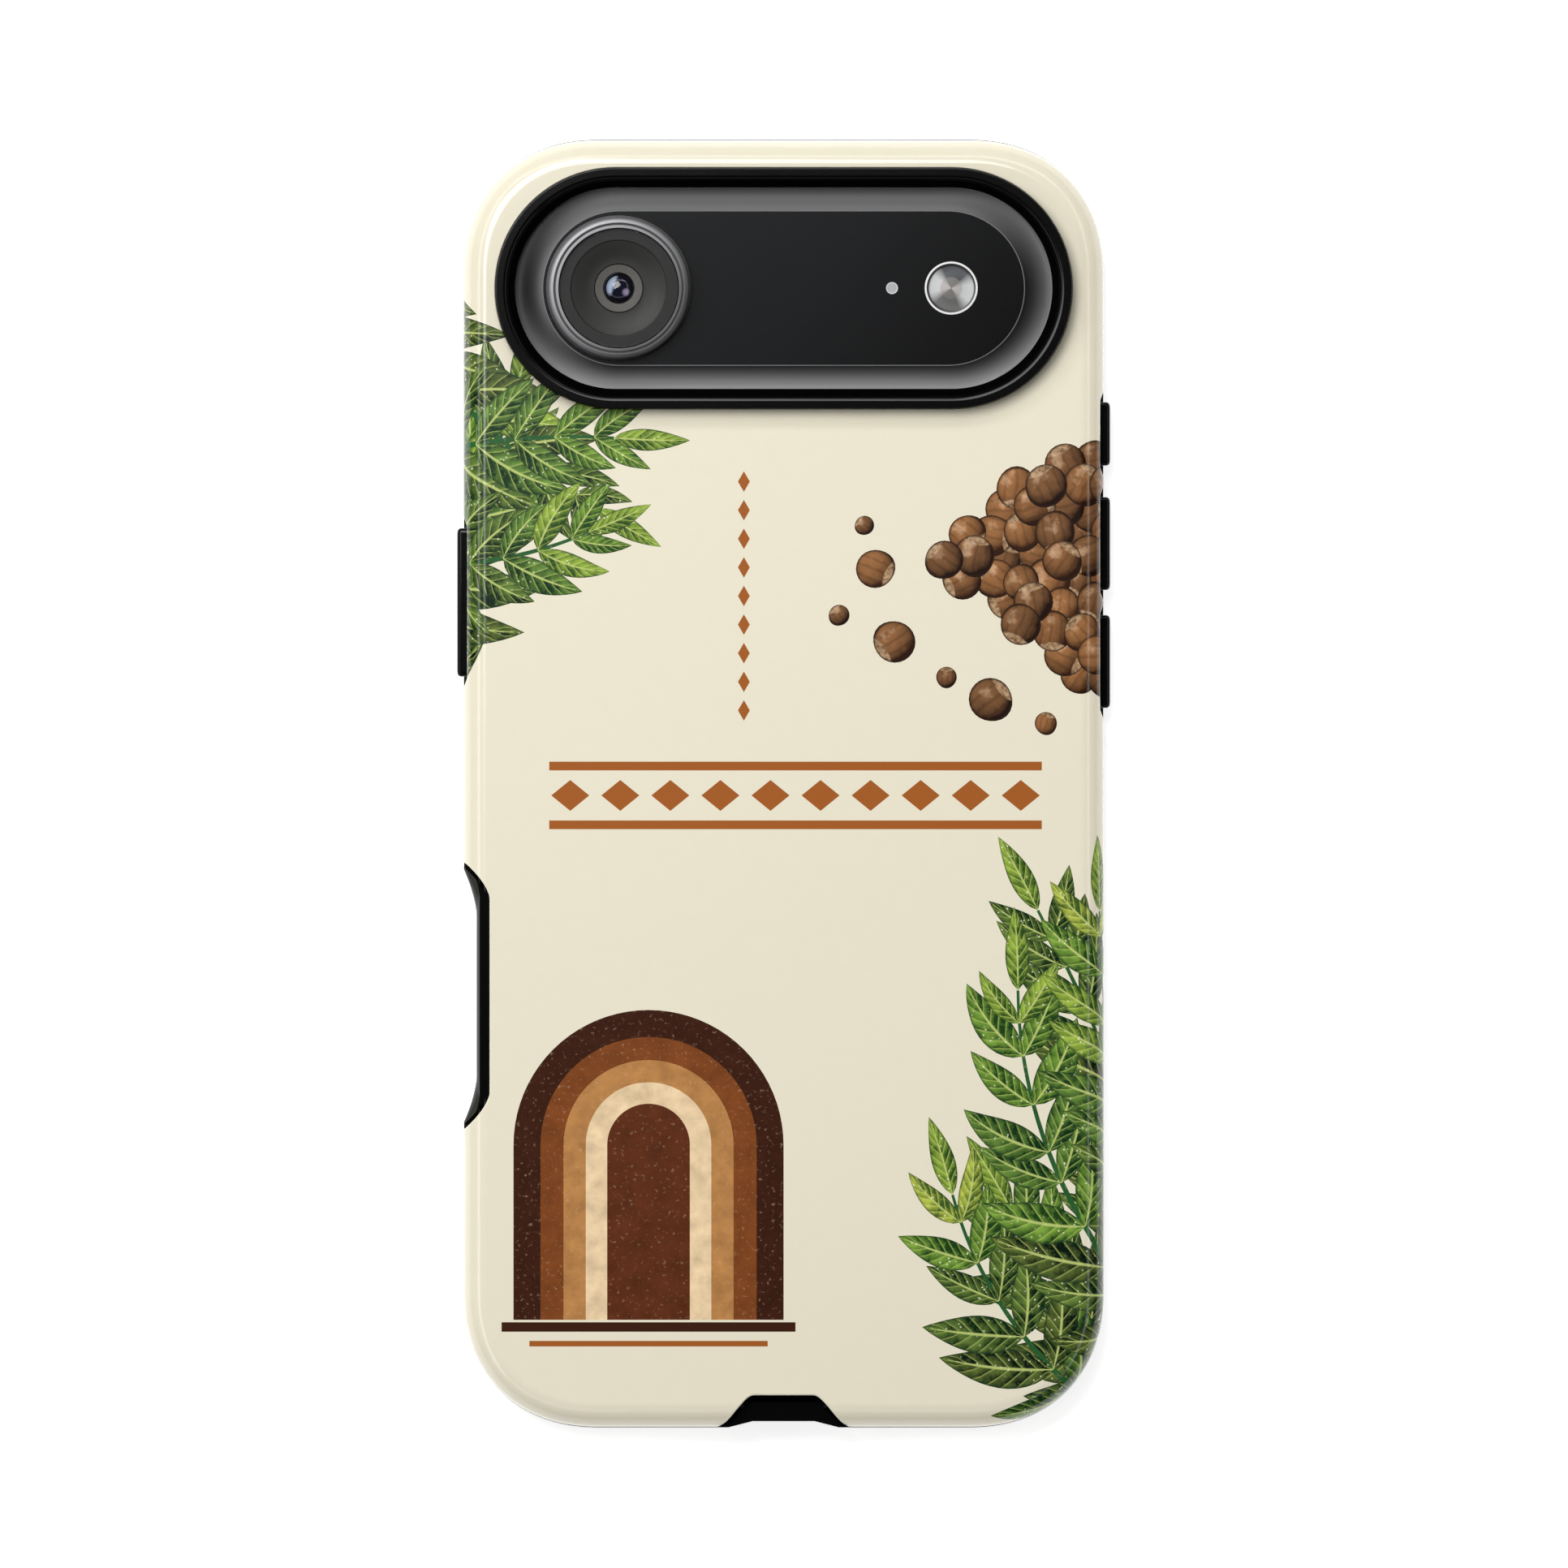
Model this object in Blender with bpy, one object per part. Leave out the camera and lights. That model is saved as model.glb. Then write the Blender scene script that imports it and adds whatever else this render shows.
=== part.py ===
"""Smartphone in a two-part tough case, lying on its screen with the printed back up.

A hard shell clips over a soft liner, and the liner holds the phone. The liner also makes the
front lip, the camera ring, the button covers, the side scoop and the charging port's surround.

Frame: metres, +Z up. The origin is on the floor under the middle of the case. +Y points to the
camera end and +X to the side that is on the right when the back is looked at.
"""

import math

import bmesh
import bpy

MM = 0.001
GAP = 0.3 * MM

# The case's outline: a rounded rectangle whose corners are superellipse quarters.
CASE_WIDTH = 80.6 * MM
SHELL_LENGTH = 161.9 * MM
LINER_LENGTH = 162.1 * MM
CORNER_SIZE = 17.1 * MM
CORNER_POWER = 2.22
CORNER_STEPS = 13

# Heights above the floor.
LIP_THICKNESS = 0.7 * MM
SCREEN_FACE = 1.0 * MM
LINER_SHOULDER = 2.2 * MM
SHELL_RIM = 2.5 * MM
PHONE_BACK = 6.64 * MM
LINER_BACK_INNER = PHONE_BACK + GAP
LINER_BACK_OUTER = 7.84 * MM
SHELL_BACK_INNER = LINER_BACK_OUTER + GAP
SHELL_BACK_OUTER = 9.7 * MM
PLATEAU_TOP = 9.54 * MM
RING_CREST = 12.6 * MM

# Walls, measured inward from the case's outline.
SHELL_WALL = 1.2 * MM
SHELL_FILLET = 3.0 * MM
LINER_WALL_OUTER = 1.6 * MM
LINER_WALL_INNER = 2.65 * MM
LINER_SETBACK = 0.05 * MM
LIP_INNER = 4.2 * MM
PHONE_SIDE = LINER_WALL_INNER + GAP
FRAME_RIM = 0.25 * MM
FRAME_EDGE = 1.1 * MM
SCREEN_THICKNESS = 0.9 * MM
BACK_GLASS_THICKNESS = 0.6 * MM
EDGE_BREAK = 0.15 * MM

# (inset, height) pairs round the liner's foot, and the chamfer of its lip.
LINER_FOOT = ((0.9 * MM, 0.0), (0.25 * MM, 0.35 * MM), (0.0, 1.1 * MM))
LIP_CHAMFER = 0.3 * MM
COLLAR_ROOT = 0.5 * MM

# (inset, depth) pairs round the frame's long edges, from its face to its side.
FRAME_ROUND = ((1.1 * MM, 0.0), (0.4 * MM, 0.25 * MM), (0.0, 1.0 * MM))

# Camera opening and the parts in it.
CAMERA_Y = 62.35 * MM
OPENING_HALF = (33.85 * MM, 12.65 * MM)
RING_HALF = (35.9 * MM, 14.95 * MM)
RING_CREST_INSET = 0.95 * MM
RING_CREST_FLAT = 0.35 * MM
RING_CREST_FALL = 0.15 * MM
RING_SLOPE = 2.2 * MM
SHELL_OPENING_HALF = (RING_HALF[0] + GAP, RING_HALF[1] + GAP)
SHELL_OPENING_ROUND = 0.35 * MM
PLATEAU_HALF = (30.4 * MM, 9.8 * MM)
PLATEAU_FLANK = 3.1 * MM
PLATEAU_FLANK_POWER = 2.2
PLATEAU_TOE = 0.02
PLATEAU_STEPS = 6
PILL_STEPS = 15
POCKET_DEPTH = 1.2 * MM
MIC_POCKET_DEPTH = 0.8 * MM

LENS_X = -20.75 * MM
LENS_RADIUS = 8.95 * MM
LENS_HEIGHT = 12.3 * MM
LENS_GLASS_RADIUS = 7.45 * MM
LENS_GLASS_TOP = 12.1 * MM
LENS_GLASS_THICKNESS = 0.6 * MM
LENS_APERTURE_RADIUS = 3.0 * MM
LENS_PUPIL_RADIUS = 1.7 * MM
LENS_GROOVE = 0.35 * MM
# (inset, depth) pairs of the bezel's outer bevel, from its side to its crown.
LENS_BEVEL = ((0.0, 0.75 * MM), (0.12 * MM, 0.38 * MM), (0.38 * MM, 0.1 * MM), (0.65 * MM, 0.0))
LENS_CROWN = (0.75 * MM, 1.0 * MM)
LENS_STEP = 0.3 * MM
LENS_FUNNEL = 1.3 * MM
LENS_ELEMENT_DROP = 1.9 * MM
LENS_ELEMENT_RISE = 0.6 * MM
FLASH_X = 21.1 * MM
FLASH_RADIUS = 3.35 * MM
FLASH_WINDOW_RADIUS = 2.86 * MM
FLASH_SEAT = 0.1 * MM
FLASH_PROUD = 0.2 * MM
MIC_X = 13.65 * MM
MIC_RADIUS = 0.76 * MM
MIC_PROUD = 0.06 * MM
MIC_RIM = 0.15 * MM
MIC_RECESS = 0.2 * MM

# Button covers: side (+1 is +X), the Y of their middle and their length.
BUTTON_COVERS = (
    (-1, 22.8 * MM, 18.7 * MM),
    (1, 44.0 * MM, 8.0 * MM),
    (1, 30.2 * MM, 11.7 * MM),
    (1, 15.35 * MM, 11.7 * MM),
)
BUTTON_PROUD = 0.8 * MM
BUTTON_TOP = 6.0 * MM
BUTTON_BOTTOM = 2.0 * MM
BUTTON_ROUND = 0.45 * MM
SCALLOP_DEPTH = 0.46 * MM
SCALLOP_RAMP = 1.7 * MM

# Side scoop, which leaves the touch key on the phone's left flank free.
SCOOP_Y = -26.7 * MM
SCOOP_FLARE = 4.6 * MM
SCOOP_POWER = 1.6
SCOOP_STEPS = 7
SHELL_SCOOP_LENGTH = 24.4 * MM
SHELL_SCOOP_X = -37.0 * MM
LINER_SCOOP_LENGTH = 20.2 * MM
LINER_SCOOP_X = -38.67 * MM
LINER_SCOOP_FLARE = 5.8 * MM
LINER_SCOOP_FACET = 0.5 * MM
LINER_SCOOP_BEVEL = 2.4 * MM
LINER_SCOOP_SPREAD = 6.0
KEY_LENGTH = 17.6 * MM
KEY_HEIGHT = 3.0 * MM
KEY_THICKNESS = 0.8 * MM
KEY_SLOT_LENGTH = 19.6 * MM
KEY_SLOT_HEIGHT = 3.9 * MM

# Charging port at the bottom edge.
SHELL_PORT_HALF = (3.7 * MM, 8.25 * MM)
SHELL_PORT_DEPTH = 3.95 * MM
LINER_PORT_HALF = (3.9 * MM, 7.0 * MM)
LINER_PORT_DEPTH = 0.79 * MM
PORT_STEPS = 8
PORT_COLLAR_SETBACK = 0.02 * MM
PORT_OPENING = (13.0 * MM, 4.6 * MM)
SOCKET_SIZE = (9.0 * MM, 3.2 * MM)
SOCKET_DEPTH = 6.0 * MM
SPEAKER_SLOT = (6.0 * MM, 1.6 * MM)
SPEAKER_X = 11.6 * MM
SPEAKER_NOTCH = (8.0 * MM, 4.0 * MM, 4.6 * MM)
SPEAKER_NOTCH_RISE = 0.8 * MM
SLOT_STEPS = 8
PHONE_MIDDLE = (SCREEN_FACE + PHONE_BACK) / 2

# How far the cutters reach past what they cut.
REACH = 3 * MM


def remove_everything():
    """Empty the scene without closing the file."""
    for thing in list(bpy.data.objects):
        bpy.data.objects.remove(thing, do_unlink=True)


def material(name, color, roughness, metallic=0.0):
    """A Principled material."""
    made = bpy.data.materials.new(name)
    made.use_nodes = True
    shader = made.node_tree.nodes["Principled BSDF"]
    shader.inputs["Base Color"].default_value = (*color, 1.0)
    shader.inputs["Roughness"].default_value = roughness
    shader.inputs["Metallic"].default_value = metallic
    return made


def corner_outline(half_x, half_y, size, power, steps):
    """Points and outward normals of a rounded rectangle, counter-clockwise."""
    points = []
    for quarter in range(4):
        sign_x = 1 if quarter in (0, 3) else -1
        sign_y = 1 if quarter in (0, 1) else -1
        for step in range(steps + 1):
            turn = step if quarter in (0, 2) else steps - step
            angle = math.pi / 2 * turn / steps
            across = max(math.cos(angle), 0.0) ** (2 / power)
            along = max(math.sin(angle), 0.0) ** (2 / power)
            normal = (across ** (power - 1), along ** (power - 1))
            length = math.hypot(*normal)
            points.append((
                sign_x * (half_x - size + size * across),
                sign_y * (half_y - size + size * along),
                sign_x * normal[0] / length,
                sign_y * normal[1] / length,
            ))
    return points


def pill_outline(half_x, half_y, steps):
    """Points and outward normals of a bar with half-round ends, counter-clockwise."""
    points = []
    for end in (1, -1):
        for step in range(steps + 1):
            angle = math.pi * (step / steps - 0.5)
            nx = end * math.cos(angle)
            ny = end * math.sin(angle)
            points.append((end * (half_x - half_y) + half_y * nx, half_y * ny, nx, ny))
    return points


def ring_at(outline, inset, z, center=(0.0, 0.0)):
    """The outline moved inward by a distance, at one height."""
    return [(center[0] + x - inset * nx, center[1] + y - inset * ny, z) for x, y, nx, ny in outline]


def loft(name, rings, look=None):
    """A closed solid through rings of equal count, the first and last of them capped."""
    mesh = bmesh.new()
    rows = [[mesh.verts.new(point) for point in ring] for ring in rings]
    count = len(rows[0])
    for low, high in zip(rows, rows[1:]):
        for i in range(count):
            j = (i + 1) % count
            mesh.faces.new((low[i], low[j], high[j], high[i]))
    mesh.faces.new(rows[0][::-1])
    mesh.faces.new(rows[-1])
    bmesh.ops.recalc_face_normals(mesh, faces=mesh.faces)
    return finish(name, mesh, look)


def turned(name, profile, center, segments, look=None):
    """A closed solid of revolution about a vertical axis; profile holds (radius, z) pairs."""
    mesh = bmesh.new()
    loop = []
    for radius, z in profile:
        loop.append(mesh.verts.new((center[0] + radius, center[1], z)))
    edges = [mesh.edges.new(pair) for pair in zip(loop, loop[1:])]
    if profile[0][0] > 0.0 and profile[-1][0] > 0.0:
        edges.append(mesh.edges.new((loop[-1], loop[0])))
    bmesh.ops.spin(mesh, geom=loop + edges, cent=(center[0], center[1], 0.0), axis=(0, 0, 1),
                   angle=2 * math.pi, steps=segments, use_merge=True)
    bmesh.ops.remove_doubles(mesh, verts=mesh.verts, dist=1e-7)
    bmesh.ops.recalc_face_normals(mesh, faces=mesh.faces)
    return finish(name, mesh, look)


def prism(name, points, low, high, look=None):
    """A closed solid over a plan outline between two heights."""
    rings = [[(x, y, z) for x, y in points] for z in (low, high)]
    return loft(name, rings, look)


def box(name, center, size, look=None):
    """A closed box."""
    mesh = bmesh.new()
    bmesh.ops.create_cube(mesh, size=1.0)
    for vert in mesh.verts:
        vert.co = [center[i] + vert.co[i] * size[i] for i in range(3)]
    return finish(name, mesh, look)


def finish(name, mesh, look):
    """Turn a bmesh into a linked, smooth-shaded object."""
    data = bpy.data.meshes.new(name)
    mesh.to_mesh(data)
    mesh.free()
    data.shade_smooth()
    data.set_sharp_from_angle(angle=math.radians(35))
    made = bpy.data.objects.new(name, data)
    bpy.context.scene.collection.objects.link(made)
    if look:
        data.materials.append(look)
    return made


def combine(target, operation, others):
    """Cut by or join with each helper, which stays as a hidden guide."""
    for helper in others:
        helper.hide_render = True
        helper.display_type = "WIRE"
        step = target.modifiers.new(f"{operation.title()} {helper.name}", "BOOLEAN")
        step.operation = operation
        step.object = helper


def quarter_round(inset, z, radius, steps):
    """(inset, z) pairs round a convex edge, from the vertical wall up to the flat top."""
    pairs = []
    for step in range(steps + 1):
        angle = math.pi / 2 * step / steps
        pairs.append((inset + radius * (1 - math.cos(angle)), z - radius * (1 - math.sin(angle))))
    return pairs


def scoop_side(edge_x, floor_x, straight, flare):
    """Plan points of the side scoop's inner boundary, from its top end to its bottom end."""
    upper = []
    for step in range(SCOOP_STEPS + 1):
        part = step / SCOOP_STEPS
        depth = (floor_x - edge_x) * (1 - (1 - part) ** SCOOP_POWER)
        upper.append((edge_x + depth, SCOOP_Y + straight / 2 + flare * (1 - part)))
    lower = [(x, 2 * SCOOP_Y - y) for x, y in reversed(upper)]
    return upper + lower


def scoop_prism(name, boundary, low, high):
    """A vertical cutter over everything outside the scoop's boundary."""
    outside = -CASE_WIDTH / 2 - REACH
    points = [(outside, boundary[0][1]), *boundary, (outside, boundary[-1][1])]
    return prism(name, points, low, high)


def port_points(half, depth, edge_y, smooth):
    """Plan points of a bottom notch, open to the edge: flat middle, smooth or straight slopes."""
    points = []
    for step in range(PORT_STEPS + 1):
        part = step / PORT_STEPS
        ease = part * part * (3 - 2 * part) if smooth else part
        points.append((half[0] + (half[1] - half[0]) * part, edge_y + depth * (1 - ease)))
    left = [(-x, y) for x, y in reversed(points)]
    outside = edge_y - REACH
    return [(-half[1], outside), *left, *points, (half[1], outside)]


def scallop_prism(name, side, middle, length):
    """A shallow trapezoid cutter beside one button cover."""
    edge = side * CASE_WIDTH / 2
    floor = edge - side * SCALLOP_DEPTH
    outside = edge + side * REACH
    run = SCALLOP_RAMP * (outside - floor) / (edge - floor)
    half = length / 2
    points = [
        (floor, middle - half),
        (outside, middle - half - run),
        (outside, middle + half + run),
        (floor, middle + half),
    ]
    return prism(name, points, SHELL_RIM - REACH, SHELL_BACK_OUTER + REACH)


def make_shell(look):
    """The hard printed shell: back, side walls, and its openings."""
    outline = corner_outline(CASE_WIDTH / 2, SHELL_LENGTH / 2, CORNER_SIZE, CORNER_POWER,
                             CORNER_STEPS)
    outer = quarter_round(0.0, SHELL_BACK_OUTER, SHELL_FILLET, 7)
    inner = quarter_round(SHELL_WALL, SHELL_BACK_INNER, SHELL_FILLET - SHELL_WALL, 4)
    profile = [*outer[::-1], (0.0, SHELL_RIM), (SHELL_WALL, SHELL_RIM), *inner]
    shell = loft("shell", [ring_at(outline, inset, z) for inset, z in profile], look)

    opening = pill_outline(*SHELL_OPENING_HALF, PILL_STEPS)
    center = (0.0, CAMERA_Y)
    rings = [ring_at(opening, 0.0, SHELL_BACK_INNER - REACH, center)]
    for step in range(4):
        angle = math.pi / 2 * step / 3
        out = SHELL_OPENING_ROUND * (1 - math.cos(angle))
        rise = SHELL_OPENING_ROUND * (math.sin(angle) - 1)
        rings.append(ring_at(opening, -out, SHELL_BACK_OUTER + rise, center))
    rings.append(ring_at(opening, -SHELL_OPENING_ROUND, SHELL_BACK_OUTER + REACH, center))
    cutters = [loft("cut_shell_camera", rings)]

    low = SHELL_RIM - REACH
    high = SHELL_BACK_OUTER + REACH
    boundary = scoop_side(-CASE_WIDTH / 2, SHELL_SCOOP_X, SHELL_SCOOP_LENGTH, SCOOP_FLARE)
    cutters.append(scoop_prism("cut_shell_scoop", boundary, low, high))
    notch = port_points(SHELL_PORT_HALF, SHELL_PORT_DEPTH, -SHELL_LENGTH / 2, smooth=True)
    cutters.append(prism("cut_shell_port", notch, low, high))
    for side in (-1, 1):
        center = (side * SPEAKER_X, -SHELL_LENGTH / 2, SHELL_RIM + SPEAKER_NOTCH_RISE)
        cutters.append(box(f"cut_shell_speaker_{side}", center, SPEAKER_NOTCH))
    for index, (side, middle, length) in enumerate(BUTTON_COVERS):
        cutters.append(scallop_prism(f"cut_scallop_{index}", side, middle, length))
        window_top = BUTTON_TOP + GAP
        cutters.append(box(f"cut_window_{index}",
                           (side * CASE_WIDTH / 2, middle, window_top / 2),
                           (REACH, length + 2 * GAP, window_top)))
    combine(shell, "DIFFERENCE", cutters)
    return shell


def liner_outline():
    """The liner's outline, which shows as a thin line past the shell's two ends."""
    return corner_outline(CASE_WIDTH / 2 - LINER_SETBACK, LINER_LENGTH / 2, CORNER_SIZE,
                          CORNER_POWER, CORNER_STEPS)


def liner_block(look):
    """The liner's outer form: foot, shoulder, walls and back, still without its cavity."""
    profile = [
        *LINER_FOOT,
        (0.0, LINER_SHOULDER),
        (LINER_WALL_OUTER, LINER_SHOULDER),
        *quarter_round(LINER_WALL_OUTER, LINER_BACK_OUTER, LINER_WALL_OUTER, 4),
    ]
    return loft("liner", [ring_at(liner_outline(), inset, z) for inset, z in profile], look)


def liner_cavity():
    """The phone's cavity under the back plate, with the lip's opening below it."""
    profile = [
        (LIP_INNER - LIP_CHAMFER, -REACH),
        (LIP_INNER - LIP_CHAMFER, 0.0),
        (LIP_INNER, LIP_CHAMFER),
        (LIP_INNER, LIP_THICKNESS),
        (LINER_WALL_INNER, LIP_THICKNESS),
        *quarter_round(LINER_WALL_INNER, LINER_BACK_INNER, FRAME_EDGE, 3),
    ]
    return loft("cut_cavity", [ring_at(liner_outline(), inset, z) for inset, z in profile])


def camera_ring():
    """The raised ring round the camera opening, with a rounded crest and a sloped inside."""
    pill = pill_outline(*RING_HALF, PILL_STEPS)
    opening_inset = RING_HALF[0] - OPENING_HALF[0]
    foot = (LINER_BACK_INNER + LINER_BACK_OUTER) / 2
    profile = [
        (0.0, foot),
        *quarter_round(0.0, RING_CREST, RING_CREST_INSET, 5),
        (RING_CREST_INSET + RING_CREST_FLAT, RING_CREST - RING_CREST_FALL),
        (opening_inset, RING_CREST - RING_SLOPE),
        (opening_inset, foot),
    ]
    mesh = bmesh.new()
    center = (0.0, CAMERA_Y)
    rows = [[mesh.verts.new(point) for point in ring_at(pill, inset, z, center)]
            for inset, z in profile]
    count = len(rows[0])
    for row, after in zip(rows, rows[1:] + rows[:1]):
        for i in range(count):
            j = (i + 1) % count
            mesh.faces.new((row[i], row[j], after[j], after[i]))
    bmesh.ops.recalc_face_normals(mesh, faces=mesh.faces)
    return finish("join_camera_ring", mesh, None)


def button_cover(index, side, middle, length):
    """One moulded button cover, rounded on its outer edges."""
    inner = CASE_WIDTH / 2 - (LINER_WALL_OUTER + LINER_WALL_INNER) / 2
    outer = CASE_WIDTH / 2 + BUTTON_PROUD
    cover = box(f"join_button_{index}",
                (side * (inner + outer) / 2, middle, (BUTTON_TOP + BUTTON_BOTTOM) / 2),
                (outer - inner, length, BUTTON_TOP - BUTTON_BOTTOM))
    bevel = cover.modifiers.new("Rounded edges", "BEVEL")
    bevel.width = BUTTON_ROUND
    bevel.segments = 2
    bevel.limit_method = "NONE"
    return cover


def scoop_collar():
    """The liner's thicker wall that fills the shell's scoop out to the case's side."""
    boundary = scoop_side(-CASE_WIDTH / 2 + LINER_SETBACK, SHELL_SCOOP_X - GAP,
                          SHELL_SCOOP_LENGTH - 2 * GAP, SCOOP_FLARE - GAP)
    return prism("join_scoop_collar", boundary, LINER_SHOULDER - COLLAR_ROOT, LINER_BACK_OUTER)


def scoop_cutter():
    """The finger scoop in the liner: a steep facet under a flat top face."""
    outside = -CASE_WIDTH / 2 - REACH
    low = LINER_BACK_OUTER - LINER_SCOOP_BEVEL
    heights = (-REACH, low, LINER_BACK_OUTER, LINER_BACK_OUTER + LINER_SCOOP_BEVEL)
    facets = (0.0, 0.0, LINER_SCOOP_FACET, 2 * LINER_SCOOP_FACET)
    rings = []
    for z, facet in zip(heights, facets):
        boundary = scoop_side(-CASE_WIDTH / 2, LINER_SCOOP_X + facet,
                              LINER_SCOOP_LENGTH + LINER_SCOOP_SPREAD * facet, LINER_SCOOP_FLARE)
        points = [(outside, boundary[0][1]), *boundary, (outside, boundary[-1][1])]
        rings.append([(x, y, z) for x, y in points])
    return loft("cut_liner_scoop", rings)


def slot_across_x(name, center, length, height, depth):
    """A pill-shaped cutter that runs along X."""
    pill = pill_outline(length / 2, height / 2, SLOT_STEPS)
    rings = [[(center[0] + x, center[1] + a, center[2] + b) for a, b, _, _ in pill]
             for x in (-depth / 2, depth / 2)]
    return loft(name, rings)


def slot_across_y(name, center, length, height, depth):
    """A pill-shaped cutter that runs along Y."""
    pill = pill_outline(length / 2, height / 2, SLOT_STEPS)
    rings = [[(center[0] + a, center[1] + y, center[2] + b) for a, b, _, _ in pill]
             for y in (-depth / 2, depth / 2)]
    return loft(name, rings)


def make_liner(look):
    """The soft liner, one moulding with its ring, covers and collars."""
    liner = liner_block(look)
    edge_y = -LINER_LENGTH / 2
    collar_y = edge_y + PORT_COLLAR_SETBACK
    notch = port_points((SHELL_PORT_HALF[0] - GAP, SHELL_PORT_HALF[1] - GAP),
                        SHELL_PORT_DEPTH - GAP, collar_y, smooth=True)
    joins = [
        camera_ring(),
        scoop_collar(),
        prism("join_port_collar", notch[1:-1], LINER_SHOULDER - COLLAR_ROOT, LINER_BACK_OUTER),
    ]
    joins += [button_cover(index, *cover) for index, cover in enumerate(BUTTON_COVERS)]
    combine(liner, "UNION", joins)

    opening = pill_outline(*OPENING_HALF, PILL_STEPS)
    center = (0.0, CAMERA_Y)
    recess = port_points(LINER_PORT_HALF, LINER_PORT_DEPTH, edge_y, smooth=False)
    cutters = [
        liner_cavity(),
        loft("cut_liner_camera", [ring_at(opening, 0.0, z, center)
                                  for z in (LINER_BACK_INNER - MM, LINER_BACK_OUTER + MM)]),
        scoop_cutter(),
        slot_across_x("cut_key_slot", (-CASE_WIDTH / 2 + LINER_WALL_INNER, SCOOP_Y, PHONE_MIDDLE),
                      KEY_SLOT_LENGTH, KEY_SLOT_HEIGHT, REACH),
        prism("cut_liner_port", recess, -REACH, LINER_BACK_OUTER + REACH),
        slot_across_y("cut_port_opening", (0.0, edge_y + LINER_WALL_INNER, PHONE_MIDDLE),
                      PORT_OPENING[0], PORT_OPENING[1], 2 * REACH),
    ]
    for side in (-1, 1):
        cutters.append(slot_across_y(f"cut_liner_speaker_{side}",
                                     (side * SPEAKER_X, edge_y + LINER_WALL_INNER, PHONE_MIDDLE),
                                     SPEAKER_SLOT[0], SPEAKER_SLOT[1], 2 * REACH))
    combine(liner, "DIFFERENCE", cutters)
    return liner


def phone_outline(inset=0.0):
    """The phone's outline, a constant distance inside the case's."""
    side = CASE_WIDTH / 2 - PHONE_SIDE - inset
    end = LINER_LENGTH / 2 - PHONE_SIDE - inset
    return corner_outline(side, end, CORNER_SIZE - PHONE_SIDE - inset, CORNER_POWER, CORNER_STEPS)


def make_frame(look):
    """The phone's metal frame, with its charging socket and touch key pocket."""
    outline = phone_outline()
    glass_seat = PHONE_BACK - BACK_GLASS_THICKNESS - GAP
    screen_seat = SCREEN_FACE + SCREEN_THICKNESS + GAP
    lower = [(inset, SCREEN_FACE + depth) for inset, depth in FRAME_ROUND]
    upper = [(inset, PHONE_BACK - depth) for inset, depth in reversed(FRAME_ROUND)]
    deck = FRAME_RIM + FRAME_EDGE
    profile = [
        (deck, screen_seat),
        (deck, SCREEN_FACE),
        *lower,
        *upper,
        (deck, PHONE_BACK),
        (deck, glass_seat),
    ]
    frame = loft("phone_frame", [ring_at(outline, inset, z) for inset, z in profile], look)
    cutters = [
        slot_across_y("cut_socket", (0.0, -LINER_LENGTH / 2 + PHONE_SIDE, PHONE_MIDDLE),
                      SOCKET_SIZE[0], SOCKET_SIZE[1], 2 * SOCKET_DEPTH),
        slot_across_x("cut_key_pocket", (-CASE_WIDTH / 2 + PHONE_SIDE, SCOOP_Y, PHONE_MIDDLE),
                      KEY_LENGTH + 2 * GAP, KEY_HEIGHT + 2 * GAP, 2 * (KEY_THICKNESS + GAP)),
    ]
    combine(frame, "DIFFERENCE", cutters)
    return frame


def make_touch_key(look):
    """The flush touch key that the side scoop leaves free."""
    outer = -CASE_WIDTH / 2 + PHONE_SIDE
    pill = pill_outline(KEY_LENGTH / 2, KEY_HEIGHT / 2, SLOT_STEPS)
    rings = [[(x, SCOOP_Y + a, PHONE_MIDDLE + b) for a, b, _, _ in pill]
             for x in (outer, outer + KEY_THICKNESS)]
    return loft("touch_key", rings, look)


def make_screen(look):
    """The front glass."""
    outline = phone_outline(FRAME_RIM + FRAME_EDGE + GAP)
    rings = [
        ring_at(outline, EDGE_BREAK, SCREEN_FACE),
        ring_at(outline, 0.0, SCREEN_FACE + EDGE_BREAK),
        ring_at(outline, 0.0, SCREEN_FACE + SCREEN_THICKNESS),
    ]
    return loft("screen", rings, look)


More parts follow.
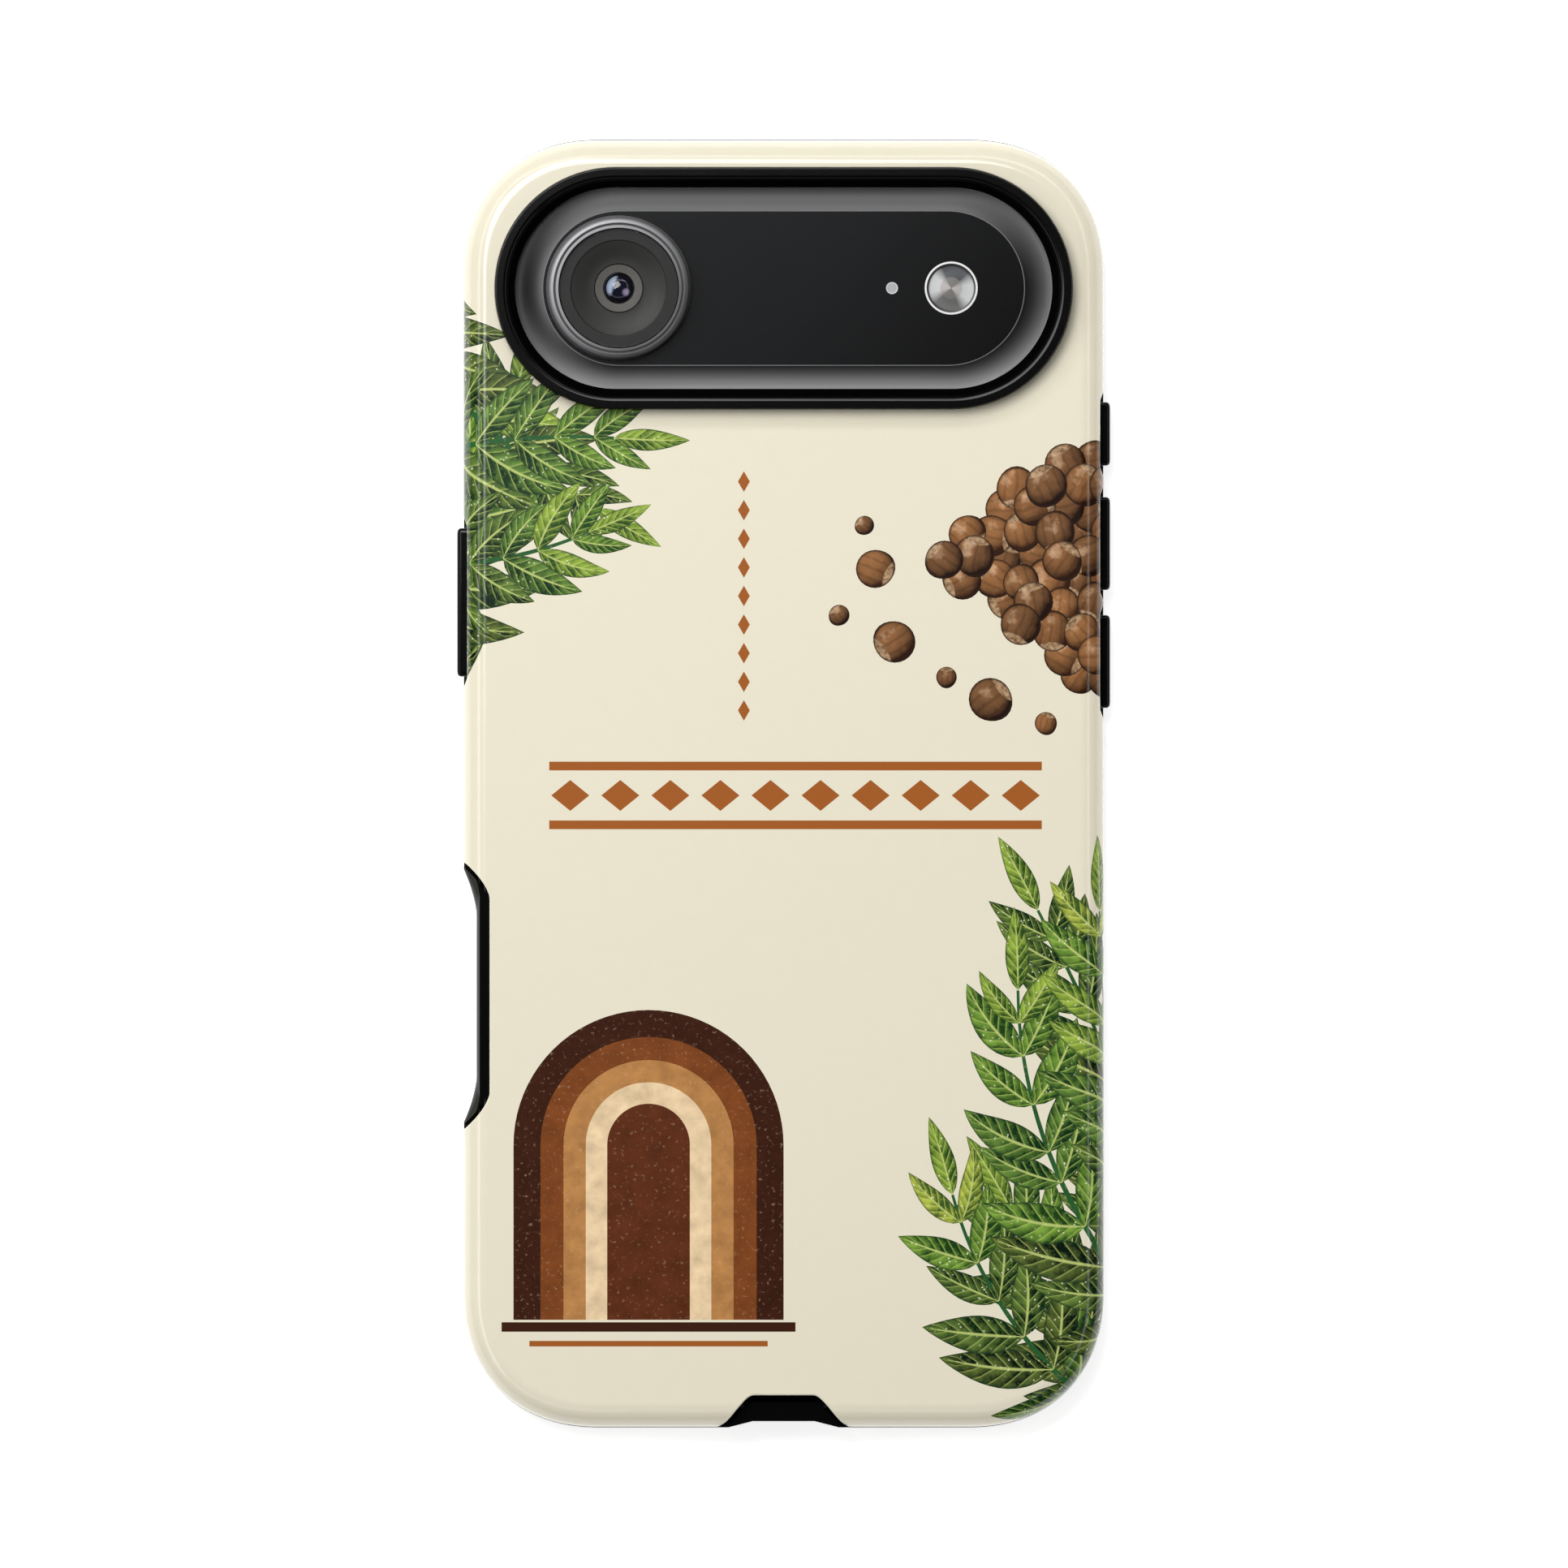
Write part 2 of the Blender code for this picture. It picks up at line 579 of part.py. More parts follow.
def make_back_glass(look):
    """The back glass with its raised camera plateau and the pockets for what sits in it."""
    outline = phone_outline(FRAME_RIM + FRAME_EDGE + GAP)
    plate = loft("back_glass", [ring_at(outline, 0.0, PHONE_BACK - BACK_GLASS_THICKNESS),
                                ring_at(outline, 0.0, PHONE_BACK)], look)
    foot = (PLATEAU_HALF[0] + PLATEAU_FLANK, PLATEAU_HALF[1] + PLATEAU_FLANK)
    pill = pill_outline(*foot, PILL_STEPS)
    center = (0.0, CAMERA_Y)
    height = PLATEAU_TOP - EDGE_BREAK - PHONE_BACK
    rings = [ring_at(pill, 0.0, PHONE_BACK - BACK_GLASS_THICKNESS / 2, center)]
    for step in range(PLATEAU_STEPS + 1):
        part = step / PLATEAU_STEPS
        rise = height * (PLATEAU_TOE + (1 - PLATEAU_TOE) * part ** PLATEAU_FLANK_POWER)
        rings.append(ring_at(pill, PLATEAU_FLANK * part, PHONE_BACK + rise, center))
    rings.append(ring_at(pill, PLATEAU_FLANK + EDGE_BREAK, PLATEAU_TOP, center))
    combine(plate, "UNION", [loft("join_plateau", rings)])

    pockets = [
        ("cut_lens_pocket", LENS_X, LENS_RADIUS + GAP, POCKET_DEPTH, 48),
        ("cut_flash_pocket", FLASH_X, FLASH_RADIUS + GAP, POCKET_DEPTH, 32),
        ("cut_mic_pocket", MIC_X, MIC_RADIUS + GAP, MIC_POCKET_DEPTH, 16),
    ]
    cutters = []
    for name, x, radius, depth, segments in pockets:
        profile = [(0.0, PLATEAU_TOP - depth), (radius, PLATEAU_TOP - depth),
                   (radius, PLATEAU_TOP + MM), (0.0, PLATEAU_TOP + MM)]
        cutters.append(turned(name, profile, (x, CAMERA_Y), segments))
    combine(plate, "DIFFERENCE", cutters)
    return plate


def make_lens(metal, glass, dark, coated):
    """The lens: bezel ring with a groove, cover glass, barrel and front element."""
    center = (LENS_X, CAMERA_Y)
    floor = PLATEAU_TOP - POCKET_DEPTH + GAP
    bore = LENS_GLASS_RADIUS + GAP
    top = LENS_HEIGHT
    groove = [(LENS_RADIUS - inset, top) for inset in LENS_CROWN]
    bezel = [
        (bore, floor),
        (LENS_RADIUS, floor),
        *[(LENS_RADIUS - inset, top - depth) for inset, depth in LENS_BEVEL],
        groove[0],
        (groove[0][0], top - LENS_GROOVE),
        (groove[1][0], top - LENS_GROOVE),
        groove[1],
        (bore, top),
    ]
    turned("lens_ring", bezel, center, 48, metal)
    low = LENS_GLASS_TOP - LENS_GLASS_THICKNESS
    disc = [
        (0.0, low),
        (LENS_GLASS_RADIUS, low),
        (LENS_GLASS_RADIUS, LENS_GLASS_TOP - EDGE_BREAK),
        (LENS_GLASS_RADIUS - EDGE_BREAK, LENS_GLASS_TOP),
        (0.0, LENS_GLASS_TOP),
    ]
    turned("lens_glass", disc, center, 48, glass)
    deck = low - GAP
    barrel = [
        (LENS_PUPIL_RADIUS, floor),
        (LENS_GLASS_RADIUS, floor),
        (LENS_GLASS_RADIUS, deck),
        (2 * LENS_APERTURE_RADIUS, deck),
        (2 * LENS_APERTURE_RADIUS, deck - LENS_STEP),
        (LENS_APERTURE_RADIUS, deck - LENS_STEP),
        (LENS_PUPIL_RADIUS, deck - LENS_FUNNEL),
    ]
    turned("lens_barrel", barrel, center, 40, dark)
    radius = LENS_PUPIL_RADIUS - GAP
    shoulder = deck - LENS_ELEMENT_DROP
    dome = [(0.0, floor), (radius, floor)]
    for step in range(4):
        angle = math.pi / 2 * step / 4
        dome.append((radius * math.cos(angle), shoulder + LENS_ELEMENT_RISE * math.sin(angle)))
    dome.append((0.0, shoulder + LENS_ELEMENT_RISE))
    turned("lens_element", dome, center, 24, coated)


def make_flash(rim, window):
    """The flash: a bright rim over a recessed window."""
    center = (FLASH_X, CAMERA_Y)
    floor = PLATEAU_TOP - POCKET_DEPTH + GAP
    seat = PLATEAU_TOP - FLASH_SEAT
    crest = PLATEAU_TOP + FLASH_PROUD
    ring = [
        (FLASH_WINDOW_RADIUS, seat),
        (FLASH_RADIUS, seat),
        (FLASH_RADIUS, crest - EDGE_BREAK),
        (FLASH_RADIUS - EDGE_BREAK, crest),
        (FLASH_WINDOW_RADIUS, crest),
    ]
    turned("flash_ring", ring, center, 32, rim)
    top = seat - GAP
    disc = [(0.0, floor), (FLASH_RADIUS, floor), (FLASH_RADIUS, top), (0.0, top)]
    turned("flash_window", disc, center, 32, window)


def make_microphone(rim):
    """The microphone: a small cup with a recessed floor."""
    low = PLATEAU_TOP - MIC_POCKET_DEPTH + GAP
    high = PLATEAU_TOP + MIC_PROUD
    inner = MIC_RADIUS - MIC_RIM
    cup = [(0.0, low), (MIC_RADIUS, low), (MIC_RADIUS, high), (inner, high),
           (inner, high - MIC_RECESS), (0.0, high - MIC_RECESS)]
    turned("microphone", cup, (MIC_X, CAMERA_Y), 16, rim)


def main():
    """Build the phone and its case."""
    remove_everything()
    cream = material("printed_shell", (0.83, 0.78, 0.63), 0.22)
    black_soft = material("soft_liner", (0.012, 0.011, 0.011), 0.5)
    frame_metal = material("frame_metal", (0.10, 0.10, 0.11), 0.3, 1.0)
    front_glass = material("front_glass", (0.008, 0.009, 0.012), 0.08)
    back_glass = material("back_glass", (0.03, 0.032, 0.036), 0.35)
    bezel_metal = material("lens_metal", (0.30, 0.30, 0.31), 0.28, 1.0)
    lens_glass = material("lens_glass", (0.018, 0.018, 0.016), 0.05)
    barrel_black = material("barrel_black", (0.03, 0.03, 0.028), 0.4)
    coated_glass = material("coated_glass", (0.05, 0.07, 0.16), 0.05)
    white_rim = material("flash_rim", (0.80, 0.80, 0.79), 0.35)
    silver = material("flash_reflector", (0.60, 0.60, 0.60), 0.3, 1.0)

    make_shell(cream)
    make_liner(black_soft)
    make_frame(frame_metal)
    make_touch_key(front_glass)
    make_screen(front_glass)
    make_back_glass(back_glass)
    make_lens(bezel_metal, lens_glass, barrel_black, coated_glass)
    make_flash(white_rim, silver)
    make_microphone(white_rim)


main()
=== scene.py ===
"""Looks of a smartphone in a two-part tough case, seen from straight above.

Sizes are in millimetres until a mesh is made. The printed sheet is laid out flat, cut into
triangles along every motif's edge, and then wrapped over the shell's back, edges and sides.
"""

import math
import random

import bmesh
import bpy
import numpy as np
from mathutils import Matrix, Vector
from mathutils.geometry import delaunay_2d_cdt


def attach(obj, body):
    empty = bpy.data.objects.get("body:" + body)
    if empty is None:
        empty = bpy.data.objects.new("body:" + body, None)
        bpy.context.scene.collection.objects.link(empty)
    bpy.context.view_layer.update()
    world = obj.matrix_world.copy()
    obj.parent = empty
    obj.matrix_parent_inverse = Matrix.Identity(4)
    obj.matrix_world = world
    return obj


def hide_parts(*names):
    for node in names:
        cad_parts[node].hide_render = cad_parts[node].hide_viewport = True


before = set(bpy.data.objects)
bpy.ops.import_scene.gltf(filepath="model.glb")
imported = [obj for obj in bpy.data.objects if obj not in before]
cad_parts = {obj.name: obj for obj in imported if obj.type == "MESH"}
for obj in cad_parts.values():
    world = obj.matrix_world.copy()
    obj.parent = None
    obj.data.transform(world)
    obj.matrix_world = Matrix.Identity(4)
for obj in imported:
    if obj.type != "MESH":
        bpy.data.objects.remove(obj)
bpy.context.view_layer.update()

MM = 0.001
MICRON = 0.000001
SHARP_ANGLE = 32.0
GAP = 0.3
IMAGE_SIZE = 1932
PIXELS_PER_MM = 9.79

# The case, as the CAD has it.
CASE_WIDTH = 80.6
SHELL_LENGTH = 161.9
LINER_LENGTH = 162.1
CORNER_SIZE = 17.1
CORNER_POWER = 2.22
LINER_SETBACK = 0.05
LIP_THICKNESS = 0.7
SCREEN_FACE = 1.0
LINER_SHOULDER = 2.2
SHELL_RIM = 2.5
PHONE_BACK = 6.64
LINER_BACK_INNER = PHONE_BACK + GAP
LINER_BACK_OUTER = 7.84
SHELL_BACK_INNER = LINER_BACK_OUTER + GAP
SHELL_BACK_OUTER = 9.7
SHELL_WALL = 1.2
SHELL_FILLET = 3.0
LINER_WALL_OUTER = 1.6
LINER_WALL_INNER = 2.65
LIP_INNER = 4.2
PHONE_SIDE = LINER_WALL_INNER + GAP
FRAME_RIM = 0.25
FRAME_EDGE = 1.1
SCREEN_THICKNESS = 0.9
BACK_GLASS_THICKNESS = 0.6
PHONE_MIDDLE = (SCREEN_FACE + PHONE_BACK) / 2

CAMERA_Y = 62.35
OPENING_HALF = (33.85, 12.65)
RING_HALF = (36.3, 15.15)
RING_WIDTH = 2.48
RING_CREST = 12.6
RING_FOOT = 7.4
RING_SLOPE_WIDTH = 1.0
RING_SLOPE_FOOT = 10.2
RING_FIT = 0.05
PLATEAU_HALF = (30.4, 9.8)
PLATEAU_FLANK = 3.1
PLATEAU_TOP = 9.54
LENS = (-20.75, CAMERA_Y)
LENS_RADIUS = 8.95
LENS_HEIGHT = 12.3
LENS_GLASS_RADIUS = 7.45
LENS_GLASS_TOP = 12.1
LENS_GLASS_BOTTOM = LENS_GLASS_TOP - 0.6
LENS_BORE = LENS_GLASS_RADIUS + 0.12
LENS_GROOVE = (LENS_RADIUS - 1.0, LENS_RADIUS - 0.75, LENS_HEIGHT - 0.4)
LENS_BASE = PLATEAU_TOP - 0.9
LENS_DECK = LENS_GLASS_BOTTOM - GAP
FLASH = (21.1, CAMERA_Y)
FLASH_RADIUS = 3.35
FLASH_WINDOW_RADIUS = 2.86
MIC = (13.65, CAMERA_Y)
MIC_RADIUS = 0.76

BUTTON_COVERS = ((-1, 22.8, 18.7), (1, 44.0, 8.0), (1, 30.2, 11.7), (1, 15.35, 11.7))
BUTTON_PROUD = 0.8
BUTTON_TOP = 6.0
BUTTON_BOTTOM = 2.0
SCALLOP_DEPTH = 0.46
SCALLOP_RAMP = 1.7
SCOOP_Y = -26.7
SCOOP_FLARE = 4.6
SCOOP_POWER = 1.6
SHELL_SCOOP_LENGTH = 24.4
SHELL_SCOOP_X = -37.0
LINER_SCOOP_LENGTH = 20.2
LINER_SCOOP_X = -38.67
LINER_SCOOP_FLARE = 5.8
SCOOP_SPREAD = 11.0
SCOOP_FACETS = ((-3.0, 0.0), (5.3, 0.0), (7.0, 0.03), (7.3, 0.12), (7.6, 0.27),
                (LINER_BACK_OUTER, 0.42), (9.0, 1.1))
KEY_SLOT_LENGTH = 19.6
KEY_SLOT_HEIGHT = 3.9
SHELL_PORT_HALF = (3.7, 8.25)
SHELL_PORT_DEPTH = 3.95
LINER_PORT_HALF = (3.9, 7.0)
LINER_PORT_DEPTH = 0.79
PORT_OPENING = (13.0, 4.6)
SPEAKER_SLOT = (6.0, 1.6)
SPEAKER_X = 11.6
SPEAKER_WINDOW = (4.0, 5.6)
COLLAR_FOOT = 1.7
CUT_SPAN = (-3.0, 11.0)
CUT_LENGTH = 8.0
SENSOR_Y = 72.4
SENSOR_PILL = (8.5, 2.6)

LINER_COLOR = (0.0020, 0.0019, 0.0020)
# Painted light that makes the scoop's steep facet paler.
FACET_PAINTED_LIGHT = (0.036, 0.035, 0.031)
GLASS_COLOR = (0.006, 0.007, 0.010)


# Plan curves and profiles

def unit(vectors):
    """Vectors scaled to length one."""
    return vectors / np.maximum(np.linalg.norm(vectors, axis=-1, keepdims=True), 1e-12)


def densify(points, normals, gap):
    """The closed outline with points added where two neighbours are further apart than gap."""
    out_points, out_normals = [], []
    for i in range(len(points)):
        j = (i + 1) % len(points)
        parts = max(1, math.ceil(np.linalg.norm(points[j] - points[i]) / gap))
        for part in np.arange(parts) / parts:
            out_points.append(points[i] * (1 - part) + points[j] * part)
            out_normals.append(normals[i] * (1 - part) + normals[j] * part)
    return np.array(out_points), unit(np.array(out_normals))


def corner_outline(half_x, half_y, size, steps=40, gap=5.0):
    """Points and outward normals of the case's rounded rectangle, counter-clockwise."""
    angle = np.linspace(0, math.pi / 2, steps + 1)
    across = np.maximum(np.cos(angle), 0) ** (2 / CORNER_POWER)
    along = np.maximum(np.sin(angle), 0) ** (2 / CORNER_POWER)
    quarter = np.stack([half_x - size + size * across, half_y - size + size * along], 1)
    normal = unit(np.stack([across ** (CORNER_POWER - 1), along ** (CORNER_POWER - 1)], 1))
    points, normals = [], []
    for sign, order in (((1, 1), 1), ((-1, 1), -1), ((-1, -1), 1), ((1, -1), -1)):
        points.append(quarter[::order] * sign)
        normals.append(normal[::order] * sign)
    return densify(np.concatenate(points), np.concatenate(normals), gap)


def pill_outline(half_x, half_y, steps=48, gap=4.0):
    """Points and outward normals of a bar with half-round ends, counter-clockwise."""
    angle = np.linspace(-math.pi / 2, math.pi / 2, steps + 1)
    normal = np.stack([np.cos(angle), np.sin(angle)], 1)
    right = normal * half_y + [half_x - half_y, 0]
    return densify(np.concatenate([right, -right]), np.concatenate([normal, -normal]), gap)


def ring_at(outline, inset, z, center=(0.0, 0.0)):
    """The outline moved inward by a distance, at one height."""
    plan = outline[0] - inset * outline[1] + np.array(center)
    return np.column_stack([plan, np.full(len(plan), z)])


def rounded(path, radii, steps=5, closed=False):
    """A path with its corners rounded off; a radius of 0 keeps a corner."""
    path = [np.array(point, float) for point in path]
    count = len(path)
    out = []
    for i, (point, radius) in enumerate(zip(path, radii)):
        if radius == 0 or (not closed and i in (0, count - 1)):
            out.append(point)
            continue
        before = unit(path[i - 1] - point)
        after = unit(path[(i + 1) % count] - point)
        half = math.acos(float(np.clip(before @ after, -1, 1))) / 2
        reach = radius / math.tan(half)
        for t in np.linspace(0, 1, steps + 1):
            start, end = point + before * reach, point + after * reach
            out.append(start * (1 - t) ** 2 + point * 2 * t * (1 - t) + end * t ** 2)
    return out


def scoop_side(edge_x, floor_x, straight, flare, steps=24):
    """Plan points of the side scoop's inner boundary, from its top end to its bottom end."""
    part = np.linspace(0, 1, steps + 1)
    x = edge_x + (floor_x - edge_x) * (1 - (1 - part) ** SCOOP_POWER)
    y = SCOOP_Y + straight / 2 + flare * (1 - part)
    upper = np.column_stack([x, y])
    return np.concatenate([upper, np.column_stack([x, 2 * SCOOP_Y - y])[::-1]])


def port_side(half, depth, edge_y, smooth, steps=20):
    """Plan points of a bottom notch's boundary, from its left end to its right end."""
    part = np.linspace(0, 1, steps + 1)
    ease = part * part * (3 - 2 * part) if smooth else part
    right = np.column_stack([half[0] + (half[1] - half[0]) * part, edge_y + depth * (1 - ease)])
    return np.concatenate([right[::-1] * (-1, 1), right])


# Meshes

def shade(mesh):
    """Smooth shading, except across sharp edges and on level faces and flat ends."""
    mesh.shade_smooth()
    mesh.set_sharp_from_angle(angle=math.radians(SHARP_ANGLE))
    for face in mesh.polygons:
        if abs(face.normal.z) > 0.99999 or len(face.vertices) > 4:
            face.use_smooth = False


def link(name, data):
    """A new object in the scene."""
    made = bpy.data.objects.new(name, data)
    bpy.context.scene.collection.objects.link(made)
    return made


def build(name, verts, faces, looks, indices):
    """A linked object from vertices in millimetres, with its outward side found."""
    mesh = bpy.data.meshes.new(name)
    mesh.from_pydata([tuple(vert) for vert in np.asarray(verts) * MM], [], faces)
    for item in looks if isinstance(looks, (list, tuple)) else [looks]:
        mesh.materials.append(item)
    mesh.polygons.foreach_set("material_index", indices)
    edit = bmesh.new()
    edit.from_mesh(mesh)
    bmesh.ops.remove_doubles(edit, verts=edit.verts, dist=1e-7)
    bmesh.ops.recalc_face_normals(edit, faces=edit.faces)
    edit.to_mesh(mesh)
    edit.free()
    shade(mesh)
    return link(name, mesh)


def skin(name, rings, looks, loop=False, bands=None):
    """A closed mesh through rings of equal count; bands gives each band's material."""
    count = len(rings[0])
    pairs = [(k, k + 1) for k in range(len(rings) - 1)]
    if loop:
        pairs.append((len(rings) - 1, 0))
    faces, indices = [], []
    for k, (low, high) in enumerate(pairs):
        for i in range(count):
            j = (i + 1) % count
            faces.append((low * count + i, low * count + j, high * count + j, high * count + i))
        indices += [bands[k] if bands else 0] * count
    if not loop:
        last = (len(rings) - 1) * count
        faces += [tuple(range(count))[::-1], tuple(range(last, last + count))]
        indices += [bands[0], bands[-1]] if bands else [0, 0]
    return build(name, np.concatenate(rings), faces, looks, indices)


def turned(name, profile, center, looks, segments=128, loop=True, bands=None):
    """A closed solid of revolution about a vertical axis through center."""
    angle = np.arange(segments) / segments * 2 * math.pi
    rings = [np.column_stack([center[0] + radius * np.cos(angle),
                              center[1] + radius * np.sin(angle),
                              np.full(segments, z)]) for radius, z in profile]
    return skin(name, rings, looks, loop, bands)


def carve(target, cutters):
    """Cut by each helper for good, and delete the helpers."""
    for cutter in cutters:
        step = target.modifiers.new(cutter.name, "BOOLEAN")
        step.operation = "DIFFERENCE"
        step.object = cutter
    graph = bpy.context.evaluated_depsgraph_get()
    mesh = bpy.data.meshes.new_from_object(target.evaluated_get(graph))
    target.modifiers.clear()
    target.data = mesh
    shade(mesh)
    for cutter in cutters:
        bpy.data.objects.remove(cutter)
    return target


def place(piece, slot, *nodes):
    """Let a piece ride on the body and stand for its CAD nodes; the slot is not used."""
    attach(piece, "root")
    if nodes:
        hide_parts(*nodes)
    return piece


# Materials

class Wire:
    """A value in a material; arithmetic on it adds Math nodes."""

    def __init__(self, tree, socket):
        self.tree = tree
        self.socket = socket

    def math(self, operation, *others, clamp=False):
        node = self.tree.nodes.new("ShaderNodeMath")
        node.operation = operation
        node.use_clamp = clamp
        for slot, value in zip(node.inputs, (self, *others)):
            plug(self.tree, value, slot)
        return Wire(self.tree, node.outputs[0])

    def __add__(self, other):
        return self.math("ADD", other)

    def __sub__(self, other):
        return self.math("SUBTRACT", other)

    def __mul__(self, other):
        return self.math("MULTIPLY", other)

    def clip(self):
        return self.math("ADD", 0.0, clamp=True)

    def flip(self):
        return self.math("MULTIPLY_ADD", -1.0, 1.0)

    def ramp(self, low, high):
        """0 below low, 1 above high, straight in between; low may be above high."""
        return ((self - low) * (1 / (high - low))).clip()

    def same(self, number):
        return self.math("COMPARE", number, 0.4)


def span(x, y):
    """The length of a plan distance."""
    return (x * x + y * y).math("SQRT").math("MAXIMUM", 1e-3)


def plug(tree, value, socket):
    """Link a wire to a socket, or set the socket to a value."""
    if isinstance(value, Wire):
        tree.links.new(value.socket, socket)
    else:
        socket.default_value = value


class Look:
    """A Principled material and the nodes that feed it."""

    def __init__(self, name, color, roughness, metallic=0.0, **settings):
        self.material = bpy.data.materials.new(name)
        self.material.use_nodes = True
        self.tree = self.material.node_tree
        self.shader = self.tree.nodes["Principled BSDF"]
        self.color = (*color, 1.0)
        self.roughness = roughness
        self.set("Base Color", self.color)
        self.set("Roughness", roughness)
        self.set("Metallic", metallic)
        for key, value in settings.items():
            self.set(key.replace("_", " ").title().replace("Ior", "IOR"), value)

    def set(self, name, value):
        plug(self.tree, value, self.shader.inputs[name])

    def node(self, kind, output=0, settings=None, **inputs):
        made = self.tree.nodes.new(kind)
        for key, value in (settings or {}).items():
            setattr(made, key, value)
        for key, value in inputs.items():
            plug(self.tree, value, made.inputs[key])
        return Wire(self.tree, made.outputs[output])

    def place(self):
        """The object's own coordinates, in metres."""
        return self.node("ShaderNodeTexCoord", "Object")

    def sheet(self):
        """The flat sheet's coordinates, in tenths of a metre."""
        return self.node("ShaderNodeUVMap", settings={"uv_map": "sheet"})

    def noise(self, where, scale, detail=2.0, roughness=0.5):
        return self.node("ShaderNodeTexNoise", Vector=where, Scale=scale, Detail=detail,
                         Roughness=roughness)

    def cells(self, where, scale):
        return self.node("ShaderNodeTexVoronoi", Vector=where, Scale=scale)

    def axes(self, vector):
        made = self.tree.nodes.new("ShaderNodeSeparateXYZ")
        plug(self.tree, vector, made.inputs[0])
        return [Wire(self.tree, output) for output in made.outputs]

    def spot(self, center=(0.0, 0.0)):
        """Distances from a plan point along the three axes, in millimetres."""
        x, y, z = self.axes(self.place())
        return (x - center[0] * MM) * 1000.0, (y - center[1] * MM) * 1000.0, z * 1000.0

    def mix(self, factor, first, second, blend="MIX"):
        made = self.tree.nodes.new("ShaderNodeMix")
        made.data_type = "RGBA"
        made.blend_type = blend
        for index, value in ((0, factor), (6, first), (7, second)):
            if isinstance(value, tuple) and len(value) == 3:
                value = (*value, 1.0)
            plug(self.tree, value, made.inputs[index])
        return Wire(self.tree, made.outputs[2])

    def bump(self, height, microns, strength=1.0):
        made = self.node("ShaderNodeBump", Height=height, Distance=microns * MICRON,
                         Strength=strength)
        self.set("Normal", made)

    def grain(self, scale, microns, spread=0.15, rough=0.06):
        """Fine moulding texture: uneven tone, uneven gloss and a shallow relief."""
        where = self.place()
        fine = self.noise(where, scale, 3.0, 0.6)
        broad = self.noise(where, scale * 0.03, 2.0)
        tone = fine * 0.5 + broad * 0.5
        dark = tuple(channel * (1 - spread) for channel in self.color[:3])
        light = tuple(min(channel * (1 + spread), 1.0) for channel in self.color[:3])
        self.set("Base Color", self.mix(tone.ramp(0.3, 0.7), dark, light))
        self.set("Roughness", (tone - 0.5) * (2 * rough) + self.roughness)
        self.bump(fine, microns)
        return self


def liner_look():
    """Soft black moulding with a fine matt grain, with painted light that makes the steep facet of
    the scoop paler.
    """
    look = Look("soft_liner", LINER_COLOR, 0.15, specular_ior_level=0.18)
    look.grain(3200, 1, rough=0.03)
    x, _, z = look.spot()
    # Painted light: the steep facet of the scoop is painted paler where it would catch the lamps.
    edge = LINER_SCOOP_X + SCOOP_FACETS[-2][1]
    foot = SCOOP_FACETS[2][0]
    facet = x.ramp(edge + 0.02, edge - 0.02) * z.ramp(foot - 0.1, foot + 0.1)
    facet = facet * z.ramp(LINER_BACK_OUTER - 0.004, LINER_BACK_OUTER - 0.010)
    tone = look.noise(look.place(), 3200.0, 3.0, 0.6).ramp(0.3, 0.7)
    matt = look.mix(tone, (0.0017, 0.0016, 0.0017), (0.0023, 0.0022, 0.0023))
    look.set("Base Color", look.mix(facet, matt, FACET_PAINTED_LIGHT))
    return look.material


def floor_look():
    """Plain pale floor."""
    look = Look("floor", (0.90, 0.90, 0.90), 0.9)
    look.set("Specular IOR Level", 0.0)
    look.set("Emission Color", (1.0, 1.0, 1.0, 1.0))
    look.set("Emission Strength", 0.72)
    return look.material


# The printed sheet: every motif is a set of flat faces with its own coordinates.

# Kinds of motif; 0 is the bare ground.
LEAF, NUT, FIELD, INK = range(1, 5)
SHEET = []


def motif(points, uv, kind, tint):
    """Lay one face on the sheet, over what is there; its uv runs straight across it."""
    points = np.asarray(points, float)
    system = np.column_stack([points, np.ones(len(points))])
    fit = np.linalg.lstsq(system, np.asarray(uv, float), rcond=None)[0]
    SHEET.append((points, fit, kind, tint))


def strip(center, half, kind, tint, lengthwise):
    """A band of changing width along a line; each side of it has its own faces."""
    center = np.asarray(center, float)
    run = unit(np.gradient(center, axis=0))
    side = np.column_stack([-run[:, 1], run[:, 0]]) * np.asarray(half)[:, None]
    for sign in (-1, 1):
        edge = center + sign * side
        for i in range(len(center) - 1):
            low, high = lengthwise[i], lengthwise[i + 1]
            if half[i] > 1e-6:
                motif([center[i], edge[i], edge[i + 1]], [(low, 0), (low, sign), (high, sign)],
                      kind, tint)
            if half[i + 1] > 1e-6:
                motif([center[i], edge[i + 1], center[i + 1]],
                      [(low, 0), (high, sign), (high, 0)], kind, tint)


def leaf(start, heading, length, width, bend, tint, steps=13):
    """A slender pointed leaf."""
    t = np.linspace(0, 1, steps + 1)
    angle = heading + bend * (t - 0.3)
    moves = np.column_stack([np.cos(angle), np.sin(angle)]) * length / steps
    center = np.array(start) + np.concatenate([[(0, 0)], np.cumsum(moves[:-1], axis=0)])
    half = width / 2 * np.sin(math.pi * t ** 0.85) ** 0.85 * (1 - 0.25 * t)
    half[0] = half[-1] = 0.0
    strip(center, half, LEAF, tint, t)


def stem(points, width, tint):
    """A thin tapering stem."""
    points = np.asarray(points, float)
    half = np.linspace(width / 2, width / 5, len(points))
    strip(points, half, FIELD, tint, np.linspace(0, 1, len(points)))


GREENS = ((0.010, 0.055, 0.022), (0.022, 0.110, 0.030), (0.050, 0.200, 0.040),
          (0.130, 0.330, 0.045), (0.300, 0.470, 0.060), (0.560, 0.640, 0.090))


